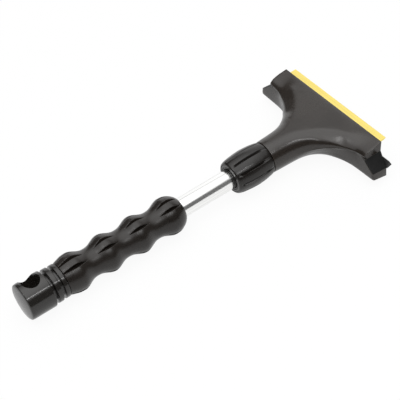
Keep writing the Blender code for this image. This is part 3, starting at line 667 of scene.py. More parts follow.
@dataclass
class Grip:
    """The bulged grip with its long V grooves, measured from its own twisted middle."""

    rear: float = -131.2
    front: float = -4.0
    bore: float = 9.8
    twist: float = 14.0
    pitch: float = 33.1
    first_bulge: float = -117.5
    bulges: tuple[float, ...] = (18.6, 18.1, 18.1, 18.1)
    valley: float = 13.6
    tip: float = 10.7
    tail: tuple[Pair, ...] = ((0.0, 15.6), (1.0, 16.0), (5.2, 17.3), (9.2, 18.3), (13.7, 18.6))
    nose: tuple[Pair, ...] = ((0.0, 0.0), (0.3, 0.095), (1.2, 0.257), (2.8, 0.459), (5.0, 0.662),
                              (8.0, 0.858), (11.0, 0.973), (14.2, 1.0))
    grooves: tuple[float, ...] = (-45.0, -15.0, 15.0, 45.0, 135.0, 165.0, 195.0, 225.0)
    near_groove: tuple[float, ...] = (0.0, 0.7, 1.5, 2.4, 3.4, 4.4, 5.2, 5.9, 6.7, 7.8, 9.5)
    between: tuple[float, ...] = (-30.0, -27.0, -12.0, 0.0, 12.0, 27.0, 30.0, 150.0, 180.0, 210.0)
    plain_sides: tuple[Pair, ...] = ((58.0, 122.0), (238.0, 302.0))
    floor: float = 13.9
    flare: float = 0.4
    edge: float = 0.5
    groove_softness: float = 0.0002
    sharpness: float = 1.25
    rows: int = 150
    last_rows: tuple[float, ...] = (0.6, 0.3, 0.1, 0.0)

    def body_radius(self, s: float) -> float:
        """Finds the radius without the grooves.

        Args:
            s: Place along the handle.

        Returns:
            The radius there.
        """
        last = self.first_bulge + self.pitch * (len(self.bulges) - 1)
        if s < self.first_bulge:
            return smooth(self.tail, s - self.rear)
        if s > last:
            return self.tip + (self.bulges[-1] - self.tip) * smooth(self.nose, self.front - s)
        index = min(int((s - self.first_bulge) / self.pitch + 0.5), len(self.bulges) - 1)
        wave = 0.5 + 0.5 * math.cos(math.tau * (s - self.first_bulge - self.pitch * index) / self.pitch)
        return self.valley + (self.bulges[index] - self.valley) * max(0.0, wave) ** self.sharpness

    def radius(self, s: float, turn: float) -> float:
        """Finds the radius with the grooves.

        Args:
            s: Place along the handle.
            turn: Angle in degrees from the grip's own middle.

        Returns:
            The radius there.
        """
        body = self.body_radius(s)
        off = min(abs((turn - groove + 180.0) % 360.0 - 180.0) for groove in self.grooves)
        angle = math.radians(off)
        spread = math.cos(angle) - math.sqrt(math.sin(angle) ** 2 + self.groove_softness) / self.flare
        if spread <= 0.2:
            return body
        return soft_min(body, self.floor / spread, self.edge)

    def turns(self) -> list[float]:
        """Spaces the lines round the grip, close together at the grooves.

        Returns:
            The angles in degrees.
        """
        angles = {round((groove + sign * step) % 360.0, 3)
                  for groove in self.grooves for step in self.near_groove for sign in (1.0, -1.0)}
        angles |= {round(low + (high - low) * i / 20.0, 3)
                   for low, high in self.plain_sides for i in range(21)}
        return sorted(angles | {angle % 360.0 for angle in self.between})

    def build(self) -> None:
        """Builds and dresses the grip."""
        turns = self.turns()
        places = sorted([*(self.rear + (self.front - self.rear) * i / self.rows for i in range(self.rows)),
                         *(self.front - back for back in self.last_rows)])
        rings = [[placed(radial(s, self.radius(s, turn), turn + self.twist)) for turn in turns]
                 for s in places]
        for s in (self.front, self.rear):
            rings.append([placed(radial(s, self.bore, turn + self.twist)) for turn in turns])
        piece = skin("grip", rings, sharp=50.0)
        enlist(piece, Body.HANDLE, "grip_sleeve", "grip_plastic", Finishes.GRIP)


@dataclass(frozen=True)
class Opening:
    """One cut of the hanging hole: its place and turn, its half axes and where it starts."""

    s: float
    turn: float
    length: float
    width: float
    start: float


@dataclass
class EndCap:
    """The domed cap with its flared hanging hole, and the two rings in front of it."""

    twist: float = 14.0
    radius: float = 17.6
    ends: Pair = (-170.2, -146.8)
    tip: float = -173.2
    dome: float = 1.5
    rim: float = 1.5
    neck: float = 12.8
    spigot: float = 8.2
    spigot_end: float = -131.5
    hole: Opening = Opening(s=-158.4, turn=7.0, length=8.7, width=8.7, start=-24.0)
    mouth: Opening = Opening(s=-158.8, turn=28.0, length=8.4, width=13.4, start=3.0)
    hole_end: float = 24.0
    rings: tuple[float, ...] = (-143.6, -138.9, -136.0, -132.0)
    ring_radii: Pair = (16.6, 16.3)
    ring_bore: float = 9.8
    screw_s: float = -137.2
    drill: tuple[Pair, ...] = ((0.0, 1.9),)
    seat: tuple[Pair, ...] = ((0.0, 1.9), (4.2, 2.95))

    def cap_line(self) -> list[Pair]:
        """Draws the cap's outer line, from the dome to the spigot.

        Returns:
            Pairs of s and radius.
        """
        (rear, front), step = self.ends, self.rings[0] - 0.3
        reach = [(self.radius - self.rim) * i / 12.0 for i in range(13)]
        line = [(self.tip + self.dome * (r / self.radius) ** 2 + 0.02, r, 0.0) for r in reach]
        line += [(rear - 1.1, self.radius - 0.35, 0.9), (rear + 1.4, self.radius, 1.5),
                 (front, self.radius, 0.9), (front, self.neck, 0.3), (step, self.neck, 0.0),
                 (step, self.spigot, 0.0), (self.spigot_end, self.spigot, 0.6), (self.spigot_end, 0.0, 0.0)]
        return eased(line)

    def screw_place(self, radius: float) -> Matrix:
        """Stands the screw hole's axis, from a radius outwards."""
        down = self.twist + 180.0
        return axis_place(radial(self.screw_s, radius, down), radial(0.0, 1.0, down))

    def build_cap(self) -> None:
        """Builds and dresses the cap."""
        cap = turned("domed_cap", self.cap_line(), 144, closed=False)
        cutters = []
        for cut in (self.hole, self.mouth):
            widen = Matrix.Diagonal((1.0, cut.width / cut.length, 1.0, 1.0))
            place = axis_place((cut.s, 0.0, 0.0), radial(0.0, 1.0, cut.turn)) @ widen
            cutters.append(bore([(cut.start, cut.length)], self.hole_end, place, 96))
        cutters.append(bore(self.drill, 7.1, self.screw_place(2.4)))
        carve(cap, cutters, 38.0)
        enlist(cap, Body.HANDLE, "end_cap", "grip_plastic", Finishes.CAP)

    def build_rings(self) -> None:
        """Builds and dresses the rings."""
        s0, s1, s2, s3 = self.rings
        rear, front = self.ring_radii
        line = eased([(s0, self.ring_bore, 0.0), (s0, rear, 0.7), (s1, rear, 0.7), (s1, self.neck, 0.3),
                      (s2, self.neck, 0.3), (s2, front, 0.6), (s3, front, 0.6),
                      (s3, self.ring_bore, 0.0)])
        piece = turned("grip_rings", line, 128)
        carve(piece, [bore(self.seat, 9.2, self.screw_place(8.0), 32)])
        enlist(piece, Body.HANDLE, "grip_ring", "grip_plastic", Finishes.CAP)

    def build(self) -> None:
        """Builds the cap and the rings."""
        self.build_cap()
        self.build_rings()


@dataclass
class Tubes:
    """The bright outer tube and the inner tube that slides in it: their two ends and radii."""

    outer: Point = (-143.7, 73.7, 9.5)
    inner: Point = (-123.7, 122.0, 7.0)
    wall: float = 1.0
    rounding: float = 0.2

    def build_tube(self, name: str, size: Point) -> Piece:
        """Builds one tube.

        Args:
            name: The piece's name.
            size: Its two ends and its radius.

        Returns:
            The piece.
        """
        rear, front, radius = size
        inside, middle = radius - self.wall, radius - self.wall / 2
        corners = [(rear, radius), (front, radius), (front, inside), (rear, inside)]
        line = eased([(rear, middle, 0.0), *((*corner, self.rounding) for corner in corners),
                      (rear, middle, 0.0)], 2)
        return turned(name, line[:-1], 96)

    def build(self) -> None:
        """Builds and dresses both tubes."""
        for node, body, size in (("outer_tube", Body.HANDLE, self.outer),
                                 ("inner_tube", Body.HEAD, self.inner)):
            enlist(self.build_tube("bright_" + node, size), body, node, "aluminium", Finishes.TUBE)


@dataclass
class TwistLock:
    """The fluted barrel nut with the ring in its rear mouth and the wiper in its front."""

    ends: Pair = (52.5, 92.4)
    radius: float = 18.25
    shape: tuple[Pair, ...] = ((0.000, 3.55), (0.018, 2.75), (0.075, 1.85), (0.163, 1.15), (0.271, 0.65),
                               (0.388, 0.20), (0.519, 0.00), (0.639, 0.20), (0.767, 0.65), (0.865, 1.25),
                               (0.965, 2.05), (0.992, 2.55), (1.000, 3.05))
    flutes: int = 10
    phase: float = 20.5
    depth: float = 2.0
    half_width: float = 1.35
    rear_fade: Pair = (1.2, 7.0)
    front_fade: Pair = (16.0, 1.0)
    front_loss: float = 0.8
    near_flute: tuple[float, ...] = (0.0, 0.8, 1.7, 2.6, 3.4, 3.9, 4.4, 5.2, 7.0, 9.5, 12.5, 15.5)
    rows: int = 72
    rear_rows: tuple[float, ...] = (0.0, 0.004, 0.010, 0.018)
    front_rows: tuple[float, ...] = (0.982, 0.992, 0.997, 1.0)
    inside: tuple[Point, ...] = (
        (92.4, 15.2, 0.0), (92.4, 7.8, 0.4), (91.1, 7.8, 0.0), (91.1, 10.6, 0.0), (88.2, 10.6, 0.0),
        (75.2, 12.5, 0.0), (74.8, 13.5, 0.0), (56.2, 13.5, 0.0), (56.2, 13.9, 0.0), (52.9, 13.9, 0.0),
        (52.5, 14.1, 0.0))
    retainer: tuple[Point, ...] = (
        (55.9, 9.9, 0.0), (55.9, 13.8, 0.0), (52.7, 13.8, 0.2), (52.7, 11.8, 0.15), (53.3, 11.6, 0.15),
        (53.3, 11.2, 0.15), (52.8, 11.0, 0.15), (52.8, 10.3, 0.2), (53.6, 9.9, 0.2), (55.9, 9.9, 0.0))
    wiper: tuple[Point, ...] = (
        (88.8, 7.9, 0.0), (88.8, 9.7, 0.2), (89.2, 10.2, 0.2), (90.4, 10.2, 0.2), (90.8, 9.7, 0.2),
        (90.8, 7.9, 0.2), (90.2, 7.4, 0.2), (89.4, 7.4, 0.2), (88.8, 7.9, 0.0))

    def radius_at(self, s: float, turn: float) -> float:
        """Finds the nut's outer radius.

        Args:
            s: Place along the handle.
            turn: Angle in degrees from straight up.

        Returns:
            The radius there.
        """
        share = (s - self.ends[0]) / (self.ends[1] - self.ends[0])
        body = self.radius - smooth(self.shape, share)
        step = 360.0 / self.flutes
        off = abs((turn - self.phase + step / 2.0) % step - step / 2.0)
        across = math.radians(off) * body / self.half_width
        fade = eased_step(self.ends[0] + self.rear_fade[0], self.ends[0] + self.rear_fade[1], s)
        fade *= 1.0 - self.front_loss * eased_step(self.ends[1] - self.front_fade[0],
                                                   self.ends[1] - self.front_fade[1], s)
        cut = self.depth * fade * max(0.0, 1.0 - math.sqrt(across ** 2 + 0.01))
        return body - soft_min(cut, self.depth, 0.2) if cut > 0.0 else body

    def build_nut(self) -> None:
        """Builds and dresses the nut."""
        step = 360.0 / self.flutes
        turns = sorted({round((self.phase + step * i + sign * off) % 360.0, 3)
                        for i in range(self.flutes) for off in self.near_flute for sign in (1.0, -1.0)})
        middle = [0.03 + 0.94 * i / self.rows for i in range(self.rows + 1)]
        places = [self.ends[0] + (self.ends[1] - self.ends[0]) * share
                  for share in (*self.rear_rows, *middle, *self.front_rows)]
        rings = [[placed(radial(s, self.radius_at(s, turn), turn)) for turn in turns] for s in places]
        rings += [[placed(radial(s, r, turn)) for turn in turns] for s, r in eased(self.inside, 3)[1:]]
        enlist(skin("twist_nut", rings, sharp=40.0), Body.TWIST_LOCK, "lock_nut", "black_plastic",
               Finishes.COLLAR)

    def build_rings(self) -> None:
        """Builds and dresses the retaining ring and the wiper ring."""
        enlist(turned("rear_retaining_ring", eased(self.retainer)[:-1], 128), Body.TWIST_LOCK,
               "nut_retainer", "black_plastic", Finishes.COLLAR)
        enlist(turned("front_wiper", eased(self.wiper, 2)[:-1], 96), Body.TWIST_LOCK,
               "wiper_ring", "rubber", Finishes.RUBBER)

    def build(self) -> None:
        """Builds the nut and its rings."""
        self.build_nut()
        self.build_rings()


def pin_places(low: float) -> list[Matrix]:
    """Stands the axes of the strip's three pins, from a height upwards."""
    return [axis_place((PIN_S, y, low), (0.0, 0.0, 1.0)) for y in (-PIN_Y, 0.0, PIN_Y)]


def tongue_outline(gap: float) -> list[Pair]:
    """Draws the section of the lip's barbed tongue, or of its slot.

    Args:
        gap: The clearance all round, 0 for the tongue itself.

    Returns:
        Pairs of s and z.
    """
    low, high, back = -4.9 - gap, -1.5 + gap, 162.5 - gap
    barb_back, barb_front, front = 163.8 - gap, 165.2 + gap, 172.0 if gap > 0.0 else 170.5
    return [(back, low), (barb_back, low), (barb_back, low - 0.5), (barb_front, low - 0.5),
            (barb_front, low), (front, low), (front, high), (barb_front, high), (barb_front, high + 0.5),
            (barb_back, high + 0.5), (barb_back, high), (back, high)]


@dataclass(frozen=True)
class Rib:
    """One section of the head: its rear edge at deck and foot, its front point and its share of wing."""

    deck: Pair
    foot: Pair
    front: Pair
    wing: float


@dataclass(frozen=True)
class Roll:
    """The rounded edge of one section: its half axes, where it starts and how the deck falls to it."""

    radius: float
    rise: float
    turn: float
    start: float
    drop: float
    reach: float


@dataclass
class Head:
    """The flared moulding, with its slots, its socket and the pockets below it."""

    neck: float = 15.8
    deck_half: float = 70.0
    foot_half: float = 83.0
    foot_flare: float = 0.8
    ledge: Pair = (172.4, 5.3)
    foot_top: Pair = (168.3, -4.9)
    rear_foot_top: float = -3.2
    rear_foot_bottom: float = -10.6
    corner_rib: int = 9
    fineness: int = 5
    ribs: tuple[tuple[float, ...], ...] = (
        (92.8, 0.000, 92.8, 0.000, 92.8, 0.000, 0.00), (99.0, 0.007, 99.0, 0.006, 99.0, 0.000, 0.00),
        (105.0, 0.013, 105.0, 0.010, 105.5, 0.000, 0.03), (110.5, 0.020, 110.5, 0.015, 112.0, 0.000, 0.10),
        (116.0, 0.033, 116.0, 0.022, 120.0, 0.000, 0.20), (121.5, 0.059, 121.5, 0.036, 129.0, 0.000, 0.34),
        (127.0, 0.107, 127.5, 0.066, 139.0, 0.000, 0.50), (132.5, 0.177, 133.0, 0.116, 150.0, 0.000, 0.66),
        (137.5, 0.266, 138.5, 0.185, 162.0, 0.000, 0.80), (142.0, 0.365, 143.0, 0.270, 174.0, 0.000, 0.90),
        (146.0, 0.474, 146.8, 0.362, 174.0, 0.129, 0.97), (149.2, 0.585, 149.3, 0.470, 174.0, 0.271, 1.00),
        (151.6, 0.696, 150.5, 0.600, 174.0, 0.443, 1.00), (153.0, 0.797, 150.8, 0.738, 174.0, 0.629, 1.00),
        (153.5, 0.899, 150.9, 0.880, 174.0, 0.814, 1.00), (153.6, 0.972, 151.1, 0.975, 174.0, 0.964, 1.00),
        (153.7, 1.000, 151.6, 1.000, 174.0, 1.000, 1.00))
    top_line: tuple[Pair, ...] = ((92.8, 15.8), (99.0, 16.2), (139.0, 16.4), (160.0, 16.25), (165.5, 16.1),
                                  (174.0, 15.5))
    low_line: tuple[Pair, ...] = ((92.8, -15.8), (99.0, -16.2), (112.0, -16.4), (139.0, -15.2),
                                  (162.0, -13.8), (174.0, -13.3))
    low_front: tuple[Pair, ...] = ((92.8, 92.8), (150.0, 150.0), (162.0, 160.0), (174.0, 167.0))
    ledge_point: int = 23
    foot_point: int = 28
    end_bulge: float = 0.6
    deck_curve: float = 1.25
    deck_reach: float = 12.5
    end_reach: float = 7.0
    end_fall: tuple[Pair, ...] = ((0.0, 1.0), (1.0, 0.87), (2.2, 0.73), (3.4, 0.64), (5.4, 0.55), (8.0, 0.46),
                                  (10.5, 0.35), (14.0, 0.25), (20.0, 0.0))
    roll_radius: tuple[Pair, ...] = ((0.0, 15.8), (0.03, 15.5), (0.1, 13.6), (0.2, 11.0), (0.37, 7.0),
                                     (0.6, 2.8), (0.8, 1.7), (1.0, 1.2))
    wall_top: tuple[Pair, ...] = ((0.0, 0.0), (0.03, 0.4), (0.1, 1.6), (0.2, 3.0), (0.37, 5.2), (0.6, 6.8),
                                  (0.8, 7.8), (1.0, 9.2))
    pockets: tuple[tuple[tuple[Pair, ...], float], ...] = (
        (((129.5, 2.2), (159.4, 2.2), (159.4, 24.0), (141.5, 24.0), (134.0, 17.0), (129.5, 12.0)), 9.5),
        (((145.5, 27.5), (159.4, 27.5), (159.4, 50.0), (153.4, 50.0), (150.8, 41.0)), 5.2),
        (((153.0, 53.5), (159.4, 53.5), (159.4, 76.0), (153.0, 76.0)), -3.2))
    edge_rounding: float = 0.4
    blade_slot: tuple[Pair, ...] = ((165.5, 10.9), (190.0, 10.9), (190.0, 13.1), (165.5, 13.1))
    blade_slot_half: float = 66.3
    lip_slot_half: float = 74.3
    slot_gap: float = 0.3
    socket: tuple[Pair, ...] = ((86.0, 0.0), (86.0, 8.0), (93.1, 8.0), (93.7, 7.3), (122.5, 7.3),
                                (122.5, 0.0))
    screw_seat: tuple[Pair, ...] = ((0.0, 2.0), (7.7, 3.55))

    def rib_at(self, place: float) -> Rib:
        """Reads the sections between their stations.

        Args:
            place: The station's number, whole or not.

        Returns:
            The section there.
        """
        curves = (smooth, smooth, smooth, smooth, straight, straight, smooth)
        values = [curve([(float(i), rib[k]) for i, rib in enumerate(self.ribs)], place)
                  for k, curve in enumerate(curves)]
        return Rib(tuple(values[0:2]), tuple(values[2:4]), tuple(values[4:6]), values[6])

    def fall(self, share: float, inset: float, start: float, reach: float) -> float:
        """Reads how far the deck has fallen between its crown and its rounded edge.

        Args:
            share: How far out along the wing the section stands.
            inset: Distance from the rear edge.
            start: Where the rounded edge ends.
            reach: Where the fall starts.

        Returns:
            The share of the drop there.
        """
        even = max(0.0, 1.0 - max(inset - start, 0.0) / (reach - start)) ** self.deck_curve
        dished = smooth(self.end_fall, min(max(inset - start, 0.0), self.end_fall[-1][0]))
        return even + (dished - even) * eased_step(0.62, 0.98, share)

    def roll(self, share: float, crown: float) -> Roll:
        """Fits the rounded edge between the deck and the rear wall.

        Args:
            share: How far out along the wing the section stands.
            crown: The deck's height there.

        Returns:
            The rounded edge.
        """
        radius = smooth(self.roll_radius, share)
        wall_top = min(smooth(self.wall_top, share), crown - radius)
        sharp = eased_step(0.05, 0.25, share)
        rise = (1.0 - sharp) * (crown - wall_top) + sharp * radius
        turn, start, drop, reach = 0.0, radius, 0.0, radius + 3.0
        for _ in range(8):
            drop = max(0.0, crown - wall_top - rise * math.cos(turn))
            reach = max(self.deck_reach + self.end_reach * eased_step(0.6, 1.0, share), start + 3.0)
            slope = (1.0 - self.fall(share, start + 0.2, start, reach)) / 0.2
            turn = math.atan(drop * slope * radius / rise)
            start = radius * (1.0 - math.sin(turn))
        return Roll(radius, rise, turn, start, drop, reach)

    def section(self, rib: Rib) -> list[Point]:
        """Draws one section, from the middle of the deck round the rear wall to the underside.

        Args:
            rib: The section's numbers.

        Returns:
            Its points in the handle frame.
        """
        deck = Vector((rib.deck[0], self.neck + (self.deck_half - self.neck) * rib.deck[1]))
        foot_y = self.neck + (self.foot_half - self.foot_flare - self.neck) * rib.foot[1]
        spine = Vector((rib.front[0], self.deck_half * rib.front[1]))
        low = Vector((smooth(self.low_front, spine.x), self.foot_half * rib.front[1],
                      smooth(self.low_line, spine.x)))
        length = (deck - spine).length
        inward = (spine - deck).normalized()
        top, bottom = self.rear_foot_top, self.rear_foot_bottom
        flare = self.foot_flare * rib.foot[1]
        roll = self.roll(rib.deck[1], smooth(self.top_line, deck.x))
        start = min(roll.start, 0.96 * length)
        bulge = self.end_bulge * eased_step(0.96, 1.0, rib.deck[1])

        def deck_point(inset: float) -> Vector:
            """Finds the deck's point at a distance from its rear edge.

            Args:
                inset: The distance, along the section.

            Returns:
                The point in the handle frame.
            """
            flat = deck + inward * inset
            fall = self.fall(rib.deck[1], inset, roll.start, roll.reach)
            return Vector((flat.x, flat.y + bulge * math.sin(math.pi * min(inset / length, 1.0)),
                           smooth(self.top_line, flat.x) - roll.drop * fall))

        wide = max(0.45 * length - start, 0.02 * length)
        insets = [start + wide + (length - start - wide) * part for part in (1.0, 0.75, 0.5, 0.25)]
        insets += [start + wide * part for part in (1.0, 0.8, 0.62, 0.46, 0.33, 0.22, 0.13, 0.06, 0.0)]
        points = [tuple(deck_point(inset)) for inset in insets]
        edge = deck_point(start)
        for k in range(1, 9):
            turn = roll.turn + (math.pi / 2.0 - roll.turn) * k / 8.0
            inset = start * (1.0 - math.sin(turn)) / (1.0 - math.sin(roll.turn))
            z = edge.z - roll.rise * (math.cos(roll.turn) - math.cos(turn))
            points.append((*(deck + inward * inset), z))
        wall = points[-1][2]
        heights = ((0.0, wall), (1.5, min(self.ledge[1], wall - 0.4)), (4.0, top), (7.0, bottom + 0.7),
                   (8.0, bottom))
        for k in (i / 2.0 for i in range(1, 17)):
            z = straight(heights, k)
            foot = Vector((rib.foot[0], foot_y + flare * max(0.0, top - z) / (top - bottom)))
            across = Vector((deck.x + (foot.x - deck.x) * (wall - z) / (wall - bottom),
                             deck.y + (foot.y - deck.y) * straight(((1.5, 0.0), (4.0, 1.0), (8.0, 1.0)), k)))
            toe = straight(((0.0, 0.0), (6.0, 0.0), (7.0, 0.4), (8.0, 1.5)), k)
            across += (low.xy - foot).normalized() * toe
            turn = math.radians(9.0 * k)
            neck = spine + (deck - spine) * math.cos(turn)
            z = (1.0 - rib.wing) * (wall + (low.z - wall) * math.sin(turn)) + rib.wing * z
            points.append((*neck.lerp(across, rib.wing), z))
        turn = math.radians(81.0)
        rounded = Vector((*(spine + (deck - spine) * math.cos(turn)), wall + (low.z - wall) * math.sin(turn)))
        return points + [tuple(rounded.lerp(Vector(points[-1]).lerp(low, 0.5), rib.wing)), tuple(low)]

    def front_wall(self, bm: bmesh.types.BMesh, rib: Rib, row: Sequence[Vert],
                   side: float) -> list[Vert]:
        """Places the points down the front wall at one section.

        Args:
            bm: The mesh.
            rib: The section's numbers.
            row: The section's own points.
            side: 1 for the left half, -1 for the right.

        Returns:
            The points, from the deck's edge to the foot's.
        """
        share = rib.front[1] * side
        upper = (self.ledge[0], self.deck_half * share, self.ledge[1])
        lower = (self.foot_top[0], (self.foot_half - self.foot_flare) * share, self.foot_top[1])
        return [row[0], bm.verts.new(placed(upper)), bm.verts.new(placed(lower)), row[-1]]

    def body(self) -> Piece:
        """Lofts the moulding without its cuts: one half from the sections, and its mirror image.

        Returns:
            The piece, with its two end ledges in the second material: a darker, duller copy of the head
            plastic that paints shade on them.
        """
        bm = bmesh.new()
        last = len(self.ribs) - 1
        places = [i / self.fineness for i in range(last * self.fineness + 1)
                  if not (last - 1) * self.fineness < i < last * self.fineness]
        ribs = [self.rib_at(place) for place in places]
        for side in (1.0, -1.0):
            rows = [[bm.verts.new(placed((x, y * side, z))) for x, y, z in self.section(rib)] for rib in ribs]
            walls = [self.front_wall(bm, rib, row, side) for place, rib, row in zip(places, ribs, rows)
                     if place >= self.corner_rib]
            for strip in (rows, walls):
                for first, second in zip(strip, strip[1:]):
                    for k in range(len(first) - 1):
                        bm.faces.new((first[k], first[k + 1], second[k + 1], second[k]))
            end, (_, upper, lower, _) = rows[-1], walls[-1]
            ledge, foot = self.ledge_point, self.foot_point
            line = [upper, *(bm.verts.new(upper.co.lerp(end[ledge].co, k / ledge)) for k in range(1, ledge)),
                    end[ledge]]
            for k in range(ledge):
                bm.faces.new([*end[k:k + 2], *([line[k + 1]] if k + 1 < ledge else []), line[k]])
            # The end ledge face takes the second material, which paints shade on it.
            bm.faces.new(line[::-1] + [lower] + end[foot:ledge:-1]).material_index = 1
            bm.faces.new(end[foot:] + [lower])
            bm.faces.new(rows[0])
        return new_object("flared_head", bm)

    def slots(self) -> list[Piece]:
        """Makes the cutters of the blade's slot and pins, the lip's slot, the socket and the screw's seat.

        Returns:
            The cutters.
        """
        seat = axis_place((SCREW_S, 0.0, -5.0), (0.0, 0.0, -1.0))
        return [bar("blade_slot", self.blade_slot, self.blade_slot_half),
                bar("lip_slot", tongue_outline(self.slot_gap), self.lip_slot_half),
                turned("socket", self.socket, 64, closed=False), bore(self.screw_seat, 13.5, seat, 32),
                *(bore(PIN_HOLE, 15.9, place) for place in pin_places(-2.5))]

    def pocket_cutters(self) -> list[Piece]:
        """Makes the cutters of the pockets under the head.

        Returns:
            The cutters.
        """
        return [prism("pocket", [(s, y * side, -20.0) for s, y in rounded_loop(outline, 1.0)],
                      (0.0, 0.0, ceiling + 20.0))
                for outline, ceiling in self.pockets for side in (1.0, -1.0)]

    def build(self) -> None:
        """Builds and dresses the head."""
        piece = self.body()
        soften(piece, self.edge_rounding, 3, 40.0)
        piece.modifiers.new("joined_points", "WELD").merge_threshold = 0.02 * MM
        carve(piece, self.slots() + self.pocket_cutters())
        # The end ledges wear the darker painted-shade finish.
        enlist(piece, Body.HEAD, "head", "head_plastic", Finishes.HEAD, Finishes.LEDGE_SHADE)


@dataclass
class Blade:
    """The brass strip in its slot under the deck."""

    half: float = 66.0
    back: float = 165.8
    edge: float = 182.0
    low: float = 11.2
    high: float = 12.8
    ground: float = 3.0
    edge_height: float = 0.5
    edge_rounding: float = 0.12

    def build(self) -> None:
        """Builds and dresses the strip."""
        low, high, edge = self.low, self.high, self.edge
        outline = [(self.back, low), (edge - self.ground, low), (edge, high - self.edge_height),
                   (edge, high), (self.back, high)]
        piece = bar("brass_strip", rounded_loop(outline, self.edge_rounding), self.half, 24)
        carve(piece, [bore(PIN_HOLE, 8.0, place) for place in pin_places(8.0)])
        enlist(piece, Body.HEAD, "blade", "brass", Finishes.BRASS)


@dataclass
class ScrapingLip:
    """The wedge along the foot's front edge, with the barbed tongue that holds it."""

    half: float = 82.4
    tongue_half: float = 74.0
    edge_rounding: float = 0.25
    outline: tuple[Point, ...] = (
        (168.6, -4.9, 0.0), (168.35, -6.2, 0.4), (173.8, -4.9, 0.3), (174.2, -4.4, 0.2), (173.9, -3.8, 0.3),
        (171.6, 1.2, 0.4), (171.0, 1.2, 0.2), (168.6, -4.9, 0.0))

    def build(self) -> None:
        """Builds and dresses the lip."""
        piece = bar("scraping_lip", eased(self.outline, 3)[:-1], self.half)
        soften(piece, self.edge_rounding, 2, 60.0)
        carve(piece, [bar("tongue", tongue_outline(0.0), self.tongue_half)], operation="UNION")
        enlist(piece, Body.HEAD, "scraper_lip", "rubber", Finishes.RUBBER)


@dataclass
class Screw:
    """One pan-head screw, driven in towards the handle axis, with a cross recess."""

    name: str
    node: str
    body: Body
    s: float
    turn: float
    head_out: float
    head_height: float
    tip: float
    head_radius: float
    shank_radius: float
    pitch: float = 0.8
    thread_depth: float = 0.28
    plain_end: float = 2.2
    point: float = 1.2
    recess_depth: float = 1.2
    arm: Pair = (0.6, 0.42)

    def build(self) -> None:
        """Builds and dresses the screw."""
        head, shank, deep = self.head_radius, self.shank_radius, self.head_out - self.tip
        height, root = self.head_height, shank - self.thread_depth
        line = [(0.0, 0.0, -1.0), (0.12, head * 0.55, -1.0), (0.2, head - 0.45, 0.3),
                (height - 0.4, head, 0.4), (height, head, 0.2), (height, shank, 0.1)]
        for i in range(int((deep - height - self.plain_end) / self.pitch)):
            at = height + self.pitch + self.pitch * i
            line += [(at, shank, -1.0), (at + 0.2, root, -1.0), (at + 0.5, root, -1.0)]
        line += [(deep - self.point, shank - 0.1, 0.1), (deep, 0.25, -1.0), (deep, 0.0, -1.0)]
        place = axis_place(radial(self.s, self.head_out, self.turn), radial(0.0, -1.0, self.turn))
        piece = turned(self.name, eased(line, 3), 48, closed=False, place=place)
        depth = tuple(place.to_3x3() @ Vector((0.0, 0.0, 1.0 + self.recess_depth)))
        long, wide = head * self.arm[0], self.arm[1]
        carve(piece, [prism("recess", [tuple(place @ Vector((a * x, b * y, -1.0)))
                                       for x, y in ((-1, -1), (1, -1), (1, 1), (-1, 1))], depth)
                      for a, b in ((long, wide), (wide, long))])
        enlist(piece, self.body, self.node, "steel", Finishes.STEEL)


@dataclass
class InnerParts:
    """The bushes, the collet and the pins inside, which keep their solids and get their finishes."""

    nylon: tuple[str, ...] = ("front_bush", "guide_bush", "collet")
    steel: tuple[str, ...] = ("bush_pin_left", "bush_pin_right", "collet_pin_left", "collet_pin_right",
                              "blade_pin_left", "blade_pin_middle", "blade_pin_right")

    def build(self) -> None:
        """Dresses the solids."""
        for names, finish in ((self.nylon, Finishes.NYLON), (self.steel, Finishes.STEEL)):
            for name in names:
                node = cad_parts[name]
                for slot in node.material_slots:
                    slot.material = finish.material()
                log.info("%s keeps its solid and gets %s", name, finish.name)


@dataclass(frozen=True)
class View:
    """The camera's place and turn, at the photograph's viewing angle."""

    place: Point = (-0.495236, -0.921732, 1.039846)
    right: Point = (0.804387, -0.581235, -0.122993)
    up: Point = (0.482605, 0.518527, 0.705849)
    back: Point = (-0.346489, -0.627133, 0.697603)
    lens: float = 146.3055
    sensor: float = 36.0

    def build(self) -> Piece:
        """Makes the camera and sets it as the scene's.

        Returns:
            The camera object.
        """
        data = bpy.data.cameras.new("view")
        data.lens, data.sensor_width = self.lens, self.sensor
        data.clip_end = 20.0
        camera = bpy.data.objects.new("view", data)
        turn = Matrix((self.right, self.up, self.back)).transposed().to_4x4()
        camera.matrix_world = Matrix.Translation(self.place) @ turn
        bpy.context.scene.collection.objects.link(camera)
        bpy.context.scene.camera = camera
        return camera


@dataclass(frozen=True)
class Lamp:
    """One soft area lamp with its long side along the handle, aimed at the handle's line."""

    name: str
    place: Point
    size: Pair
    power: float

    def build(self) -> Piece:
        """Makes the lamp.

        Returns:
            The lamp object.
        """
        data = bpy.data.lights.new(self.name, "AREA")
        data.shape, data.energy = "RECTANGLE", self.power
        data.size, data.size_y = self.size
        lamp = bpy.data.objects.new(self.name, data)
        lamp.location = self.place
        lamp.rotation_euler = (math.atan2(-self.place[1], self.place[2]), 0.0, 0.0)
        bpy.context.scene.collection.objects.link(lamp)
        return lamp


